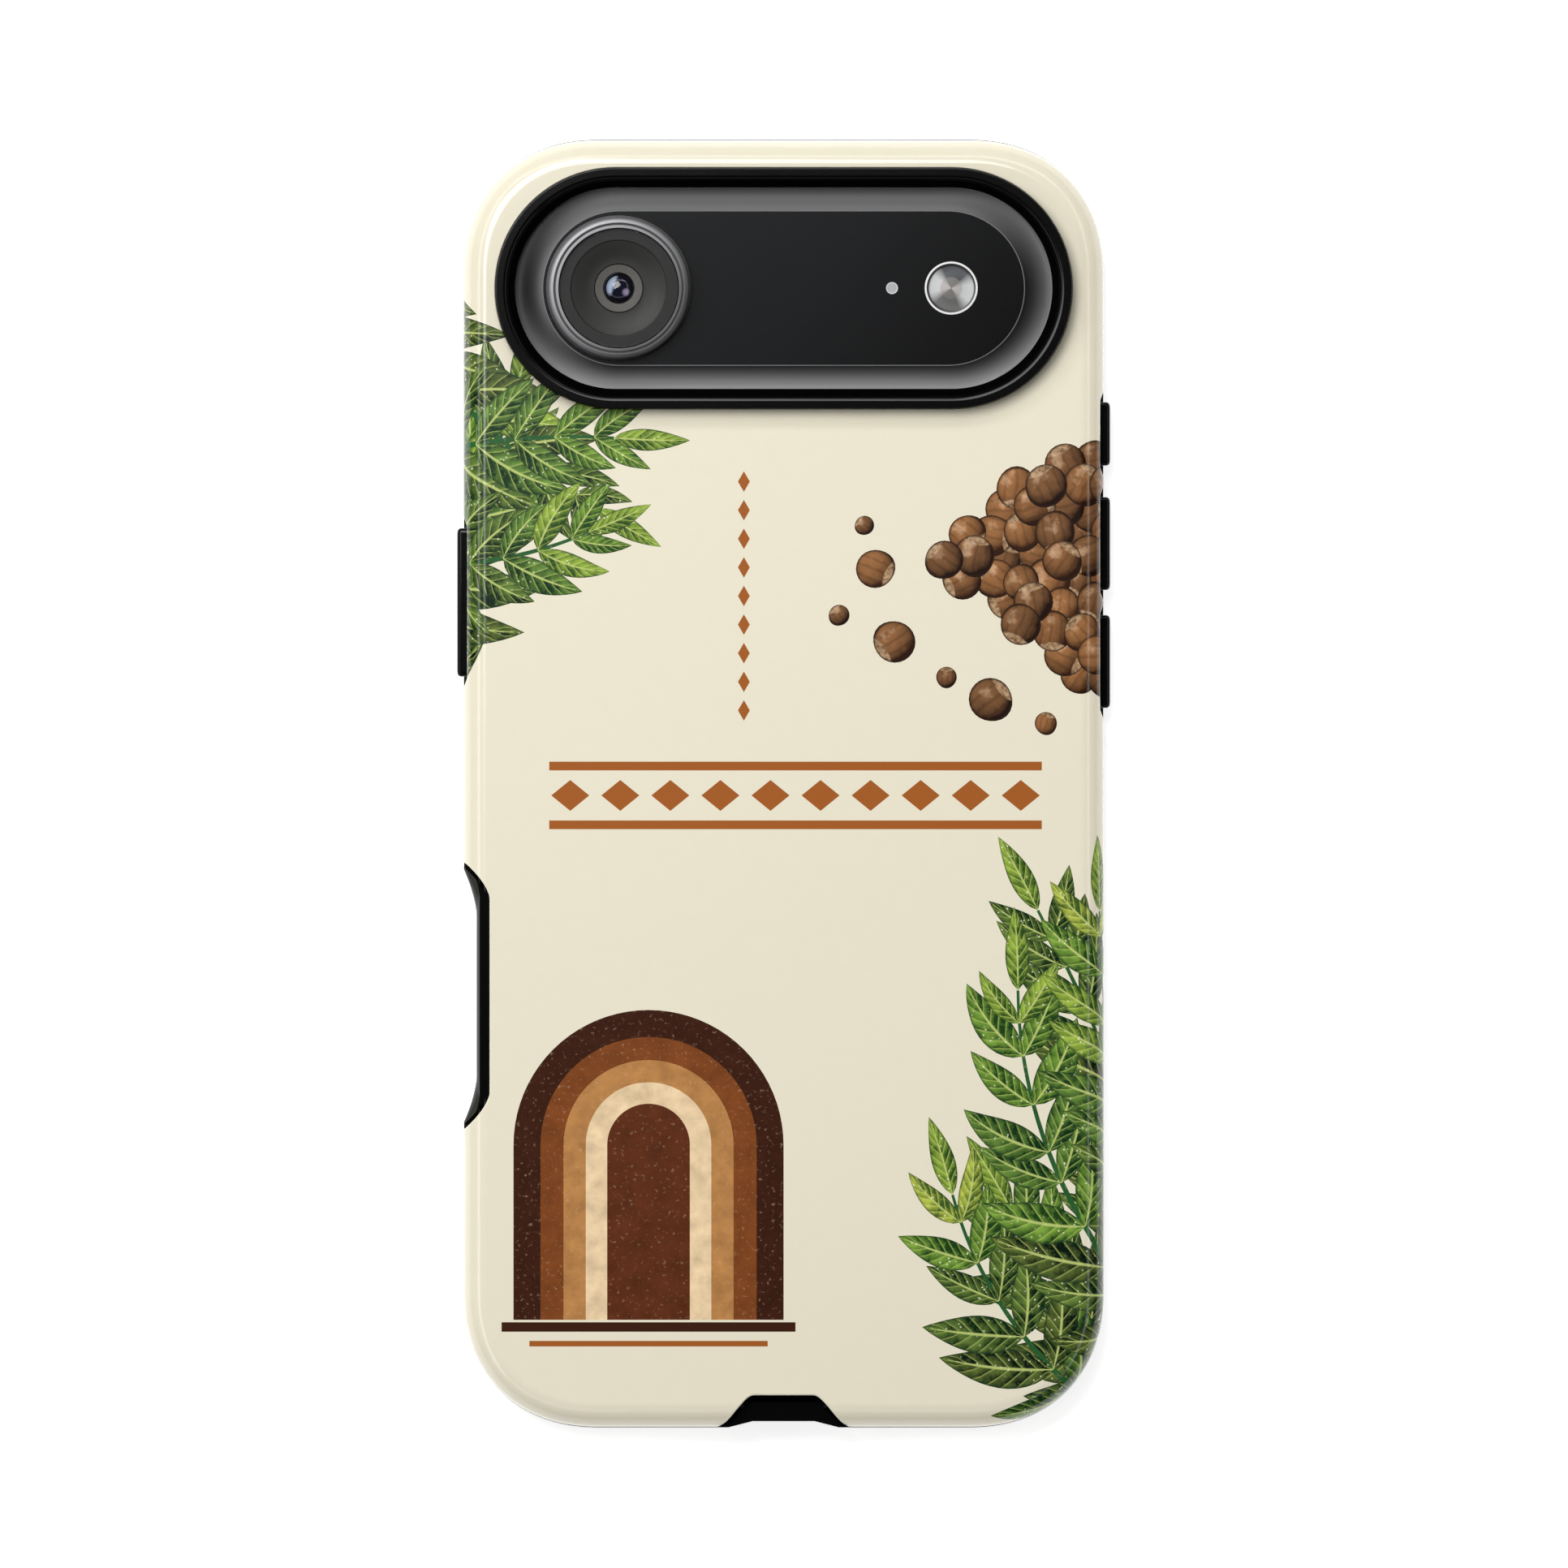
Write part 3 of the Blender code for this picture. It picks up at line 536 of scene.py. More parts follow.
def spray(draw, start, heading, length, bend, count, size, shades, steps=24):
    """A curved stem with pairs of leaves that grow shorter towards its tip."""
    t = np.linspace(0, 1, steps + 1)
    angle = heading + bend * t
    moves = np.column_stack([np.cos(angle), np.sin(angle)]) * length / steps
    line = np.array(start) + np.cumsum(moves, axis=0) - moves[0]
    stem(line, 0.9, GREENS[1])
    for k in range(count):
        part = (k + 0.6) / count
        spot = min(int(part * steps), steps)
        level = int(draw.gauss(shades[0] + (shades[1] - shades[0]) * part, 0.8))
        shade = GREENS[min(max(level, 0), len(GREENS) - 1)]
        for side in (-1, 1):
            spread = side * (0.95 - 0.35 * part) + draw.uniform(-0.15, 0.15)
            reach = size * (1.0 - 0.45 * part) * draw.uniform(0.85, 1.12)
            leaf(line[spot], angle[spot] + spread, reach, reach * draw.uniform(0.33, 0.42),
                 -side * draw.uniform(0.15, 0.6), shade)
    leaf(line[-1], angle[-1], size * 0.62, size * 0.2, 0.1, GREENS[4])


def nut(center, radius, turn, tint, sides=24):
    """A round nut, whose pale base points to a part of a full turn."""
    angle = np.arange(sides) / sides * 2 * math.pi
    disc = np.column_stack([np.cos(angle), np.sin(angle)])
    base = -2 * math.pi * turn
    point = 1 + 0.10 * np.maximum(np.cos(angle - base - math.pi / 2), 0) ** 4
    motif(disc * radius * point[:, None] + center, disc, NUT, (*tint, turn))


def tall_arch(center, leg, bands, steps=40):
    """Half rings on straight legs, one in another."""
    angle = np.linspace(0, math.pi, steps + 1)
    ray = np.column_stack([np.cos(angle), np.sin(angle)])
    for inner, outer, tint in bands:
        line = ray * (inner + outer) / 2
        line = np.concatenate([line[:1] - (0, leg), line, line[-1:] - (0, leg)]) + center
        strip(line, np.full(len(line), (outer - inner) / 2), FIELD, tint,
              np.linspace(0, 1, len(line)))


def bar(center, size, tint, turn=0.0):
    """A flat rectangle, or a lozenge if it is turned."""
    half = np.array(size) / 2
    box = np.array([(-1, -1), (1, -1), (1, 1), (-1, 1)]) * half
    if turn:
        box = np.array([(0, -1), (1, 0), (0, 1), (-1, 0)]) * half
    motif(box + center, box / half, INK, tint)


BROWN = (0.356, 0.104, 0.019)
DARK_BROWN = (0.045, 0.012, 0.005)
NUT_BROWNS = ((0.115, 0.034, 0.010), (0.200, 0.066, 0.018), (0.300, 0.110, 0.032))
# Start, heading, length, bend, pairs of leaves, leaf size and shades of each spray: the first
# five at the upper left, the others from the lower right corner up the edge.
SPRAYS = (((-52, 8), 1.25, 44, 0.25, 8, 17.0, (0.0, 1.6)),
          ((-51, 20), 0.75, 34, 0.55, 7, 17.0, (0.2, 2.6)),
          ((-52, 62), -1.0, 40, 0.45, 8, 15.0, (0.0, 2.2)),
          ((-51, 40), 0.30, 30, -0.35, 6, 15.5, (0.4, 3.8)),
          ((-51, 28), -0.15, 27, 0.55, 6, 14.0, (0.8, 4.4)),
          ((51, -60), 1.9, 48, 0.15, 9, 17.0, (0.0, 1.8)),
          ((52, -86), 2.30, 40, -0.2, 8, 17.5, (0.0, 2.2)),
          ((49, -84), 2.75, 44, -0.9, 8, 16.5, (0.4, 3.6)),
          ((50, -70), 2.45, 50, -0.85, 9, 17.0, (0.8, 4.4)),
          ((51, -52), 2.15, 38, -0.55, 7, 15.5, (1.0, 4.8)))


def lay_out_print():
    """Generic sprays, nuts, arches and rules on a cream ground."""
    draw = random.Random(11)
    for values in SPRAYS:
        spray(draw, *values)
    # Arches with straight legs at the lower left.
    tall_arch((-17.0, -45.5), 22.0,
              ((13.6, 17.0, DARK_BROWN), (10.7, 13.6, (0.210, 0.060, 0.014)),
               (7.9, 10.7, (0.480, 0.230, 0.075)), (5.2, 7.9, (0.830, 0.640, 0.400)),
               (-0.05, 5.2, (0.110, 0.028, 0.009))))
    bar((-17.0, -68.4), (37.0, 1.2), DARK_BROWN)
    bar((-17.0, -70.5), (30.0, 0.7), BROWN)
    # Rules and lozenges across the middle, and a column of small ones beside them.
    for y in (-5.2, 2.2):
        bar((1.5, y), (62.0, 1.1), BROWN)
    for k in range(10):
        bar((1.5 + (k - 4.5) * 6.3, -1.5), (4.8, 3.9), BROWN, 1)
    for k in range(9):
        bar((-5.0, 38.0 - k * 3.6), (1.5, 2.6), BROWN, 1)
    # Nuts that spill in from the right edge.
    heap = []
    for row in range(10):
        for column in range(8 - abs(row - 4)):
            x = 46.5 - column * 3.7 - (row % 2) * 1.8 + draw.uniform(-0.6, 0.6)
            y = 40.5 - row * 3.0 + draw.uniform(-0.5, 0.5)
            heap.append((x, y, draw.uniform(2.25, 2.75)))
    heap += [(11.5, 27.0, 2.4), (7.0, 21.2, 1.3), (14.0, 17.8, 2.6), (20.5, 13.4, 1.3),
             (26.0, 10.6, 2.7), (10.2, 32.5, 1.2), (33.0, 7.6, 1.4)]
    draw.shuffle(heap)
    for x, y, radius in heap:
        nut((x, y), radius, draw.random(), draw.choice(NUT_BROWNS))


def leaf_paint(look, u, v, tint, blotch, dapple):
    """A leaf's green, with its rib, veins, dark rim and small glints; u runs along it."""
    side = v.math("ABSOLUTE")
    phase = (u * 8.0 - side * 1.5).math("FRACT")
    vein = (phase - 0.5).math("ABSOLUTE").ramp(0.40, 0.47)
    rib = side.ramp(0.10, 0.04)
    light = phase * 0.60 + blotch * 2.2 + v.ramp(-0.05, 0.05) * 0.30 + u * 0.30 - 1.36
    dark = look.mix(1.0, tint, (0.08, 0.15, 0.17), "MULTIPLY")
    pale = look.mix(0.24, tint, (0.50, 0.60, 0.08))
    green = look.mix(light.clip(), dark, pale)
    green = look.mix((dapple.ramp(0.54, 0.66) * 0.30), green, pale)
    green = look.mix(vein * 0.60, green, look.mix(0.5, pale, (0.62, 0.70, 0.20)))
    green = look.mix(rib * 0.80, green, (0.55, 0.64, 0.20))
    glint = look.cells(look.sheet(), 150.0).ramp(0.20, 0.12) * blotch.ramp(0.46, 0.56)
    green = look.mix(glint * 0.8, green, (0.86, 0.88, 0.62))
    return look.mix(side.ramp(0.80, 0.98) * 0.8, green, (0.008, 0.035, 0.014))


def nut_paint(look, u, v, tint, turn, blotch, dapple):
    """A nut's brown, lit from the upper left, with streaks and a pale base."""
    height = (u * u + v * v).flip().math("MAXIMUM", 0.0).math("SQRT")
    lit = (height * 0.85 - u * 0.35 + v * 0.40 + blotch * 0.9 - 0.58).clip()
    dark = look.mix(1.0, tint, (0.11, 0.09, 0.08), "MULTIPLY")
    brown = look.mix(lit, dark, look.mix(0.25, tint, (0.70, 0.38, 0.16)))
    sine, cosine = turn.math("SINE"), turn.math("COSINE")
    down = v * cosine - u * sine
    across = u * cosine + v * sine
    streak = (across * 13.0 + blotch * 5.0).math("SINE").ramp(0.2, 1.0)
    brown = look.mix(streak * 0.30, brown, dark)
    cap = (down + across * across * 0.35).ramp(-0.50, -0.56)
    brown = look.mix(cap, brown, look.mix(dapple.ramp(0.35, 0.65), (0.16, 0.08, 0.035),
                                          (0.50, 0.33, 0.19)))
    brown = look.mix(lit.ramp(0.80, 1.0) * 0.55, brown, (0.80, 0.55, 0.35))
    return look.mix(height.ramp(0.50, 0.30) * 0.85, brown, (0.020, 0.008, 0.004))


def print_look():
    """Glossy print over a cream ground; the motifs' own coordinates drive their drawing."""
    look = Look("printed_shell", (0.80, 0.76, 0.60), 0.18, specular_ior_level=0.32,
                coat_weight=0.35, coat_roughness=0.12)
    u, v, kind = look.axes(look.node("ShaderNodeAttribute", "Vector",
                                     {"attribute_name": "motif"}))
    tint = look.node("ShaderNodeAttribute", "Color", {"attribute_name": "tint"})
    turn = look.node("ShaderNodeAttribute", "Alpha", {"attribute_name": "tint"}) * (2 * math.pi)
    where = look.sheet()
    blotch = look.noise(where, 42.0, 3.0, 0.6)
    dapple = look.noise(where, 190.0, 3.0, 0.6)
    green = leaf_paint(look, u, v, tint, blotch, dapple)
    brown = nut_paint(look, u, v, tint, turn, blotch, dapple)
    wash = look.mix(blotch.ramp(0.30, 0.70), (0.78, 0.76, 0.74), (1.12, 1.10, 1.08))
    field = look.mix(1.0, tint, wash, "MULTIPLY")
    field = look.mix(dapple.ramp(0.60, 0.72) * 0.25, field, (0.75, 0.55, 0.32))
    color = look.mix(blotch.ramp(0.35, 0.65), (0.790, 0.738, 0.584), (0.798, 0.748, 0.594))
    for motif_kind, paint in ((LEAF, green), (NUT, brown), (FIELD, field), (INK, tint)):
        color = look.mix(kind.same(motif_kind), color, paint)
    look.set("Base Color", color)
    look.set("Roughness", dapple * 0.04 + 0.16)
    look.bump(look.noise(where, 60.0, 1.0), 10, 0.35)
    return look.material


# The shell

OUTER = corner_outline(CASE_WIDTH / 2, SHELL_LENGTH / 2, CORNER_SIZE)
FLAT = (OUTER[0] - SHELL_FILLET * OUTER[1], OUTER[1])
FILLET_RUN = SHELL_FILLET * math.pi / 2
SHEET_REACH = FILLET_RUN + SHELL_BACK_OUTER - SHELL_FILLET - SHELL_RIM
SHEET_MARGIN = 4
FILLET_ROWS = 13
RIM_ROUNDING = 0.25
CAMERA_ROUNDING = 0.14
SCOOP_ROUNDING = 0.18
PORT_ROUNDING = 0.25
WINDOW_ROUNDING = 0.2


def nearest(points, path):
    """Each point's distance to a closed path and the place on it."""
    run = np.roll(path, -1, axis=0) - path
    size = np.maximum((run ** 2).sum(1), 1e-12)
    distance = np.empty(len(points))
    foot = np.empty((len(points), 2))
    for low in range(0, len(points), 4000):
        block = points[low:low + 4000, None, :]
        part = np.clip(((block - path) * run).sum(2) / size, 0, 1)
        spot = path + part[..., None] * run
        gaps = ((block - spot) ** 2).sum(2)
        best = gaps.argmin(1)
        row = np.arange(len(best))
        distance[low:low + 4000] = np.sqrt(gaps[row, best])
        foot[low:low + 4000] = spot[row, best]
    return distance, foot


def inside(points, path):
    """Which points lie in a closed path."""
    x, y = points[:, 0], points[:, 1]
    result = np.zeros(len(points), bool)
    for (ax, ay), (bx, by) in zip(path, np.roll(path, -1, axis=0)):
        if ay != by:
            crosses = ((ay > y) != (by > y)) & (x < (bx - ax) * (y - ay) / (by - ay) + ax)
            result ^= crosses
    return result


def unwrap(plan):
    """Sheet points of plan points that lie on the back or its rounded edge."""
    plan = np.asarray(plan, float)
    distance, foot = nearest(plan, FLAT[0])
    out = ~inside(plan, FLAT[0])
    run = SHELL_FILLET * np.arcsin(np.clip(distance / SHELL_FILLET, 0, 1))
    moved = foot + unit(plan - foot) * run[:, None]
    return np.where(out[:, None], moved, plan)


def area(path):
    """A closed path's area, positive if it runs counter-clockwise."""
    after = np.roll(path, -1, axis=0)
    return (path[:, 0] * after[:, 1] - after[:, 0] * path[:, 1]).sum() / 2


def shifted(path, distance):
    """A closed path grown outward by a distance, as far as its corners allow."""
    path = np.asarray(path, float)
    run = unit(np.roll(path, -1, axis=0) - path)
    normal = np.column_stack([run[:, 1], -run[:, 0]]) * (1 if area(path) > 0 else -1)
    joint = unit(normal + np.roll(normal, 1, axis=0))
    scale = 1 / np.maximum((joint * normal).sum(1), 0.5)
    return path + joint * (distance * scale)[:, None]


def scallop_limit(y, side):
    """How far the shell reaches to one side, beside and between the button covers."""
    depth = np.zeros_like(y)
    for cover_side, middle, length in BUTTON_COVERS:
        if cover_side == side:
            away = np.abs(y - middle) - length / 2
            part = np.clip(1 - away / SCALLOP_RAMP, 0, 1)
            depth = np.maximum(depth, SCALLOP_DEPTH * part * part * (3 - 2 * part))
    return CASE_WIDTH / 2 - depth


def shell_openings():
    """Closed sheet paths of the shell's openings, each with the rounding of its edge."""
    beyond = SHEET_REACH + SHEET_MARGIN
    wall = FILLET_RUN + SHELL_BACK_OUTER - SHELL_FILLET
    flat_x, flat_y = CASE_WIDTH / 2 - SHELL_FILLET, SHELL_LENGTH / 2 - SHELL_FILLET
    camera = pill_outline(RING_HALF[0] + RING_FIT, RING_HALF[1] + RING_FIT)
    openings = [(ring_at(camera, 0.0, 0.0, (0.0, CAMERA_Y))[:, :2], CAMERA_ROUNDING)]

    scoop = scoop_side(-CASE_WIDTH / 2, SHELL_SCOOP_X, SHELL_SCOOP_LENGTH, SCOOP_FLARE)
    path = unwrap(scoop)
    outside = -flat_x - beyond
    path = np.concatenate([[(outside, path[0][1])], path, [(outside, path[-1][1])]])
    openings.append((path, SCOOP_ROUNDING))

    path = unwrap(port_side(SHELL_PORT_HALF, SHELL_PORT_DEPTH, -SHELL_LENGTH / 2, True))
    outside = -flat_y - beyond
    path = np.concatenate([[(path[0][0], outside)], path, [(path[-1][0], outside)]])
    openings.append((path, PORT_ROUNDING))

    for side, middle, length in BUTTON_COVERS:
        inner = flat_x + wall - BUTTON_TOP - GAP
        outer = flat_x + beyond
        half = length / 2 + GAP
        box = [(inner, middle - half), (outer, middle - half), (outer, middle + half),
               (inner, middle + half)]
        path = np.array(rounded(box, (0.7, 0, 0, 0.7), 5, True)) * (side, 1)
        openings.append((path, WINDOW_ROUNDING))
    for side in (-1, 1):
        low, high = side * SPEAKER_X - SPEAKER_WINDOW[0], side * SPEAKER_X + SPEAKER_WINDOW[0]
        inner = flat_y + wall - SPEAKER_WINDOW[1]
        box = [(low, inner), (low, flat_y + beyond), (high, flat_y + beyond), (high, inner)]
        path = np.array(rounded(box, (0.9, 0, 0, 0.9), 5, True)) * (1, -1)
        openings.append((path, WINDOW_ROUNDING))
    return openings


def cut_sheet(openings):
    """Triangles of the sheet, each with the motif face that lies on top of it."""
    points, edges, faces, owners = [], [], [], []

    def lay(path, owner=None, closed=True):
        path = np.asarray(path, float)
        if owner is not None:
            extent = area(path)
            if abs(extent) < 1e-4:
                return
            path = path if extent > 0 else path[::-1]
        first = len(points)
        points.extend(tuple(point) for point in path)
        ids = list(range(first, first + len(path)))
        if owner is None:
            edges.extend(zip(ids, ids[1:] + ids[:1] if closed else ids[1:]))
        else:
            faces.append(ids)
            owners.append(owner)

    rim = FLAT[0] + SHEET_REACH * FLAT[1]
    lay(rim, "sheet")
    rows = list(np.linspace(0, FILLET_RUN, FILLET_ROWS))
    rows += [FILLET_RUN + 1.4, SHEET_REACH - 0.25, SHEET_REACH - 0.12, SHEET_REACH - 0.04]
    for run in rows:
        lay(FLAT[0] + run * FLAT[1])
    for path, radius in openings:
        lay(path, "hole")
        for part in (0.08, 0.3, 0.62, 1.0):
            lay(shifted(path, part * radius))
    flat_x = CASE_WIDTH / 2 - SHELL_FILLET
    for side, middle, length in BUTTON_COVERS:
        for end in (-1, 1):
            for part in np.linspace(0, 1, 6):
                y = middle + end * (length / 2 + SCALLOP_RAMP * part)
                lay([(side * (flat_x + 2.4), y), (side * (flat_x + SHEET_REACH), y)], closed=False)
    for number, (path, _, _, _) in enumerate(SHEET):
        lay(path, number)
    result = delaunay_2d_cdt([Vector(point) for point in points], edges, faces, 1, 1e-5, True)
    triangles, tops = [], []
    for triangle, sources in zip(result[2], result[5]):
        names = [owners[source] for source in sources]
        if "hole" in names or "sheet" not in names:
            continue
        triangles.append(triangle)
        tops.append(max((name for name in names if name != "sheet"), default=-1))
    plan = np.array([tuple(vert) for vert in result[0]])
    return plan, np.array(triangles), tops


def wrap(plan, openings):
    """Where sheet points lie on the shell's outside, on its inside, and their normals."""
    distance, foot = nearest(plan, FLAT[0])
    out = ~inside(plan, FLAT[0]) & (distance > 1e-6)
    away = np.where(out, distance, 0.0)
    direction = np.where(out[:, None], unit(plan - foot), (1.0, 0.0))
    turn = np.minimum(away / SHELL_FILLET, math.pi / 2)
    sine, cosine = np.sin(turn), np.cos(turn)
    drop = np.maximum(away - FILLET_RUN, 0)
    xy = np.where(out[:, None], foot + direction * (SHELL_FILLET * sine)[:, None], plan)
    z = SHELL_BACK_OUTER - SHELL_FILLET * (1 - cosine) - drop
    position = np.column_stack([xy, z])
    normal = np.column_stack([direction * sine[:, None], cosine])
    tangent = np.column_stack([direction * cosine[:, None], -sine])
    inner = position - normal * (SHELL_WALL + (SHELL_BACK_OUTER - SHELL_BACK_INNER - SHELL_WALL)
                                 * cosine ** 2)[:, None]

    for side in (-1, 1):
        limit = scallop_limit(position[:, 1], side)
        over = (side * position[:, 0] > limit) & (limit < CASE_WIDTH / 2 - 1e-6)
        slope = (scallop_limit(position[:, 1] + 0.05, side) - limit) / 0.05
        pressed = unit(np.column_stack([np.full(len(plan), side), -slope, np.zeros(len(plan))]))
        position[over, 0] = side * limit[over]
        normal[over] = pressed[over]

    rim = FLAT[0] + SHEET_REACH * FLAT[1]
    depth = np.zeros(len(plan))
    lean = np.zeros(len(plan))
    toward = np.zeros((len(plan), 3))
    side_way = np.column_stack([-direction[:, 1], direction[:, 0]])
    for path, radius in [*openings, (rim, RIM_ROUNDING)]:
        gap, spot = nearest(plan, path)
        part = np.clip(1 - gap / radius, 0, 1)
        better = part > lean
        pull = unit(spot - plan)
        edge = gap < 1e-5
        pull[edge] = 0.0
        solid = (tangent * (pull * direction).sum(1)[:, None]
                 + np.column_stack([side_way, np.zeros(len(plan))])
                 * (pull * side_way).sum(1)[:, None])
        lean[better] = part[better]
        depth[better] = (radius * (1 - np.sqrt(1 - part ** 2)))[better]
        toward[better] = solid[better]
    outer = position - normal * depth[:, None]
    shading = unit(normal * np.sqrt(1 - lean ** 2)[:, None] + toward * lean[:, None])
    return outer, inner, shading, normal, lean


def make_shell():
    """The printed shell, as one closed mesh with the print cut into its outer side."""
    openings = shell_openings()
    plan, triangles, tops = cut_sheet(openings)
    outer, inner, shading, normal, lean = wrap(plan, openings)
    count = len(plan)
    uses = {}
    for a, b, c in triangles:
        for edge in ((a, b), (b, c), (c, a)):
            uses[edge] = True
    rim = [(a, b) for a, b in uses if (b, a) not in uses]
    for a, b in rim:
        for vert in (a, b):
            shading[vert] = 0.0
    for a, b in rim:
        run = unit(outer[b] - outer[a])
        face = np.cross(run, normal[a])
        for vert in (a, b):
            shading[vert] += unit(face)
    shading = unit(shading)
    faces = [tuple(triangle) for triangle in triangles]
    faces += [tuple(triangle[::-1] + count) for triangle in triangles]
    faces += [(b, a, a + count, b + count) for a, b in rim]
    used = np.unique(triangles)
    keep = np.full(2 * count, -1)
    keep[np.concatenate([used, used + count])] = np.arange(2 * len(used))
    mesh = bpy.data.meshes.new("printed_shell")
    verts = np.concatenate([outer[used], inner[used]]) * MM
    mesh.from_pydata([tuple(vert) for vert in verts], [],
                     [tuple(int(keep[vert]) for vert in face) for face in faces])
    mesh.materials.append(print_look())
    mesh.shade_smooth()

    corners = np.concatenate([triangles.ravel(), triangles[:, ::-1].ravel(),
                              [vert % count for face in faces[2 * len(triangles):]
                               for vert in face]]).astype(int)
    uv = mesh.uv_layers.new(name="sheet")
    uv.data.foreach_set("uv", (plan[corners] / 100).ravel())
    marks = np.zeros((len(corners), 3))
    tints = np.ones((len(corners), 4))
    for index, top in enumerate(tops):
        if top >= 0:
            _, fit, kind, tint = SHEET[top]
            rows = slice(3 * index, 3 * index + 3)
            marks[rows, :2] = np.column_stack([plan[triangles[index]], np.ones(3)]) @ fit
            marks[rows, 2] = kind
            tints[rows, :len(tint)] = tint
    made = mesh.attributes.new("motif", "FLOAT_VECTOR", "CORNER")
    made.data.foreach_set("vector", marks.ravel())
    made = mesh.attributes.new("tint", "FLOAT_COLOR", "CORNER")
    made.data.foreach_set("color", tints.ravel())

    back = np.where((lean > 0.999)[:, None], shading, -normal)
    normals = unit(np.concatenate([shading[used], back[used]]))
    mesh.normals_split_custom_set_from_vertices([tuple(item) for item in normals])
    shell = link("printed_shell", mesh)
    place(shell, "printed_shell", "shell")


# The liner

def liner_outline():
    """The liner's outline, a hair longer than the shell's."""
    return corner_outline(CASE_WIDTH / 2 - LINER_SETBACK, LINER_LENGTH / 2, CORNER_SIZE)


def prism(name, path, low, high, looks=()):
    """An upright solid over a plan path; a cutter needs no look."""
    rings = [np.column_stack([path, np.full(len(path), z)]) for z in (low, high)]
    return skin(name, rings, looks)


def slot(name, axis, center, length, height, depth):
    """A pill-shaped cutter along X or Y."""
    pill = pill_outline(length / 2, height / 2, 20)[0]
    rings = []
    for run in (-depth / 2, depth / 2):
        across = np.full(len(pill), run)
        order = (across, pill[:, 0], pill[:, 1]) if axis == "X" else (pill[:, 0], across,
                                                                      pill[:, 1])
        rings.append(np.column_stack(order) + center)
    return skin(name, rings, [])


def scoop_cutter():
    """The finger scoop: a steep facet with a rounded brow."""
    outside = -CASE_WIDTH / 2 - 3
    rings = []
    for z, facet in SCOOP_FACETS:
        side = scoop_side(-CASE_WIDTH / 2, LINER_SCOOP_X + facet,
                          LINER_SCOOP_LENGTH + SCOOP_SPREAD * facet, LINER_SCOOP_FLARE)
        path = np.concatenate([[(outside, side[0][1])], side, [(outside, side[-1][1])]])
        rings.append(np.column_stack([path, np.full(len(path), z)]))
    return skin("cut_scoop", rings, [])


def port_recess():
    """The shallow notch in the liner's bottom end."""
    edge_y = -LINER_LENGTH / 2
    side = port_side(LINER_PORT_HALF, LINER_PORT_DEPTH, edge_y, False)
    path = np.concatenate([[(side[0][0], edge_y - 3)], side, [(side[-1][0], edge_y - 3)]])
    return prism("cut_recess", path, *CUT_SPAN)


def key_slot():
    """The slot over the touch key."""
    center = (-CASE_WIDTH / 2 + LINER_WALL_INNER, SCOOP_Y, PHONE_MIDDLE)
    return slot("cut_key", "X", center, KEY_SLOT_LENGTH, KEY_SLOT_HEIGHT, CUT_LENGTH)


def port_slots():
    """The slots over the socket and the two speakers."""
    center_y = -LINER_LENGTH / 2 + LINER_WALL_INNER
    cutters = [slot("cut_port", "Y", (0.0, center_y, PHONE_MIDDLE), *PORT_OPENING, CUT_LENGTH)]
    for side in (-1, 1):
        center = (side * SPEAKER_X, center_y, PHONE_MIDDLE)
        cutters.append(slot("cut_speaker", "Y", center, *SPEAKER_SLOT, CUT_LENGTH))
    return cutters


def make_liner_body(look):
    """The liner's wall and back in one closed skin, with the front lip."""
    quarter = np.linspace(0, math.pi / 2, 7)
    radius = LINER_WALL_OUTER
    inner_round = [(LINER_WALL_INNER + FRAME_EDGE * (1 - math.cos(a)),
                    LINER_BACK_INNER - FRAME_EDGE * (1 - math.sin(a))) for a in quarter][::-1]
    outer_round = [(radius + radius * (1 - math.cos(a)),
                    LINER_BACK_OUTER - radius * (1 - math.sin(a))) for a in quarter]
    lip = rounded([(LINER_WALL_INNER, LIP_THICKNESS), (LIP_INNER, LIP_THICKNESS),
                   (LIP_INNER, 0.0), (0.75, 0.0), (0.1, 0.5), (0.0, LINER_SHOULDER),
                   (LINER_WALL_OUTER, LINER_SHOULDER)],
                  (0, 0.28, 0.3, 0.5, 0.5, 0.22, 0), 5)
    profile = inner_round + lip + outer_round
    outline = liner_outline()
    body = skin("liner_body", [ring_at(outline, inset, z) for inset, z in profile], look)
    opening = ring_at(pill_outline(*OPENING_HALF), -0.4, 0.0, (0.0, CAMERA_Y))[:, :2]
    carve(body, [prism("cut_camera", opening, LINER_BACK_INNER - 1, LINER_BACK_OUTER + 1),
                 scoop_cutter(), key_slot(), port_recess(), *port_slots()])
    place(body, "soft_liner", "liner")


def make_ring(look):
    """The ring round the camera, matt on the slope that faces the lens."""
    slope = RING_WIDTH - RING_SLOPE_WIDTH
    profile = rounded([(0.0, RING_FOOT), (0.0, RING_CREST), (slope, RING_CREST),
                       (RING_WIDTH, RING_SLOPE_FOOT), (RING_WIDTH, RING_FOOT)],
                      (0, 0.15, 0.80, 0.6, 0), 8)
    matt = Look("ring_wall", LINER_COLOR, 0.6, specular_ior_level=0.0).grain(3200, 1)
    pill = pill_outline(*RING_HALF, 64)
    ring = skin("camera_ring", [ring_at(pill, inset, z, (0.0, CAMERA_Y)) for inset, z in profile],
                [look, matt.material], loop=True,
                bands=[int(inset > slope + 0.1) for inset, _ in profile])
    place(ring, "soft_liner", "liner")


def make_collar(name, side, cutters, look):
    """A raised part of the liner that fills an opening of the shell."""
    collar = carve(prism(name, side, COLLAR_FOOT, LINER_BACK_OUTER, look), cutters)
    place(collar, "soft_liner", "liner")


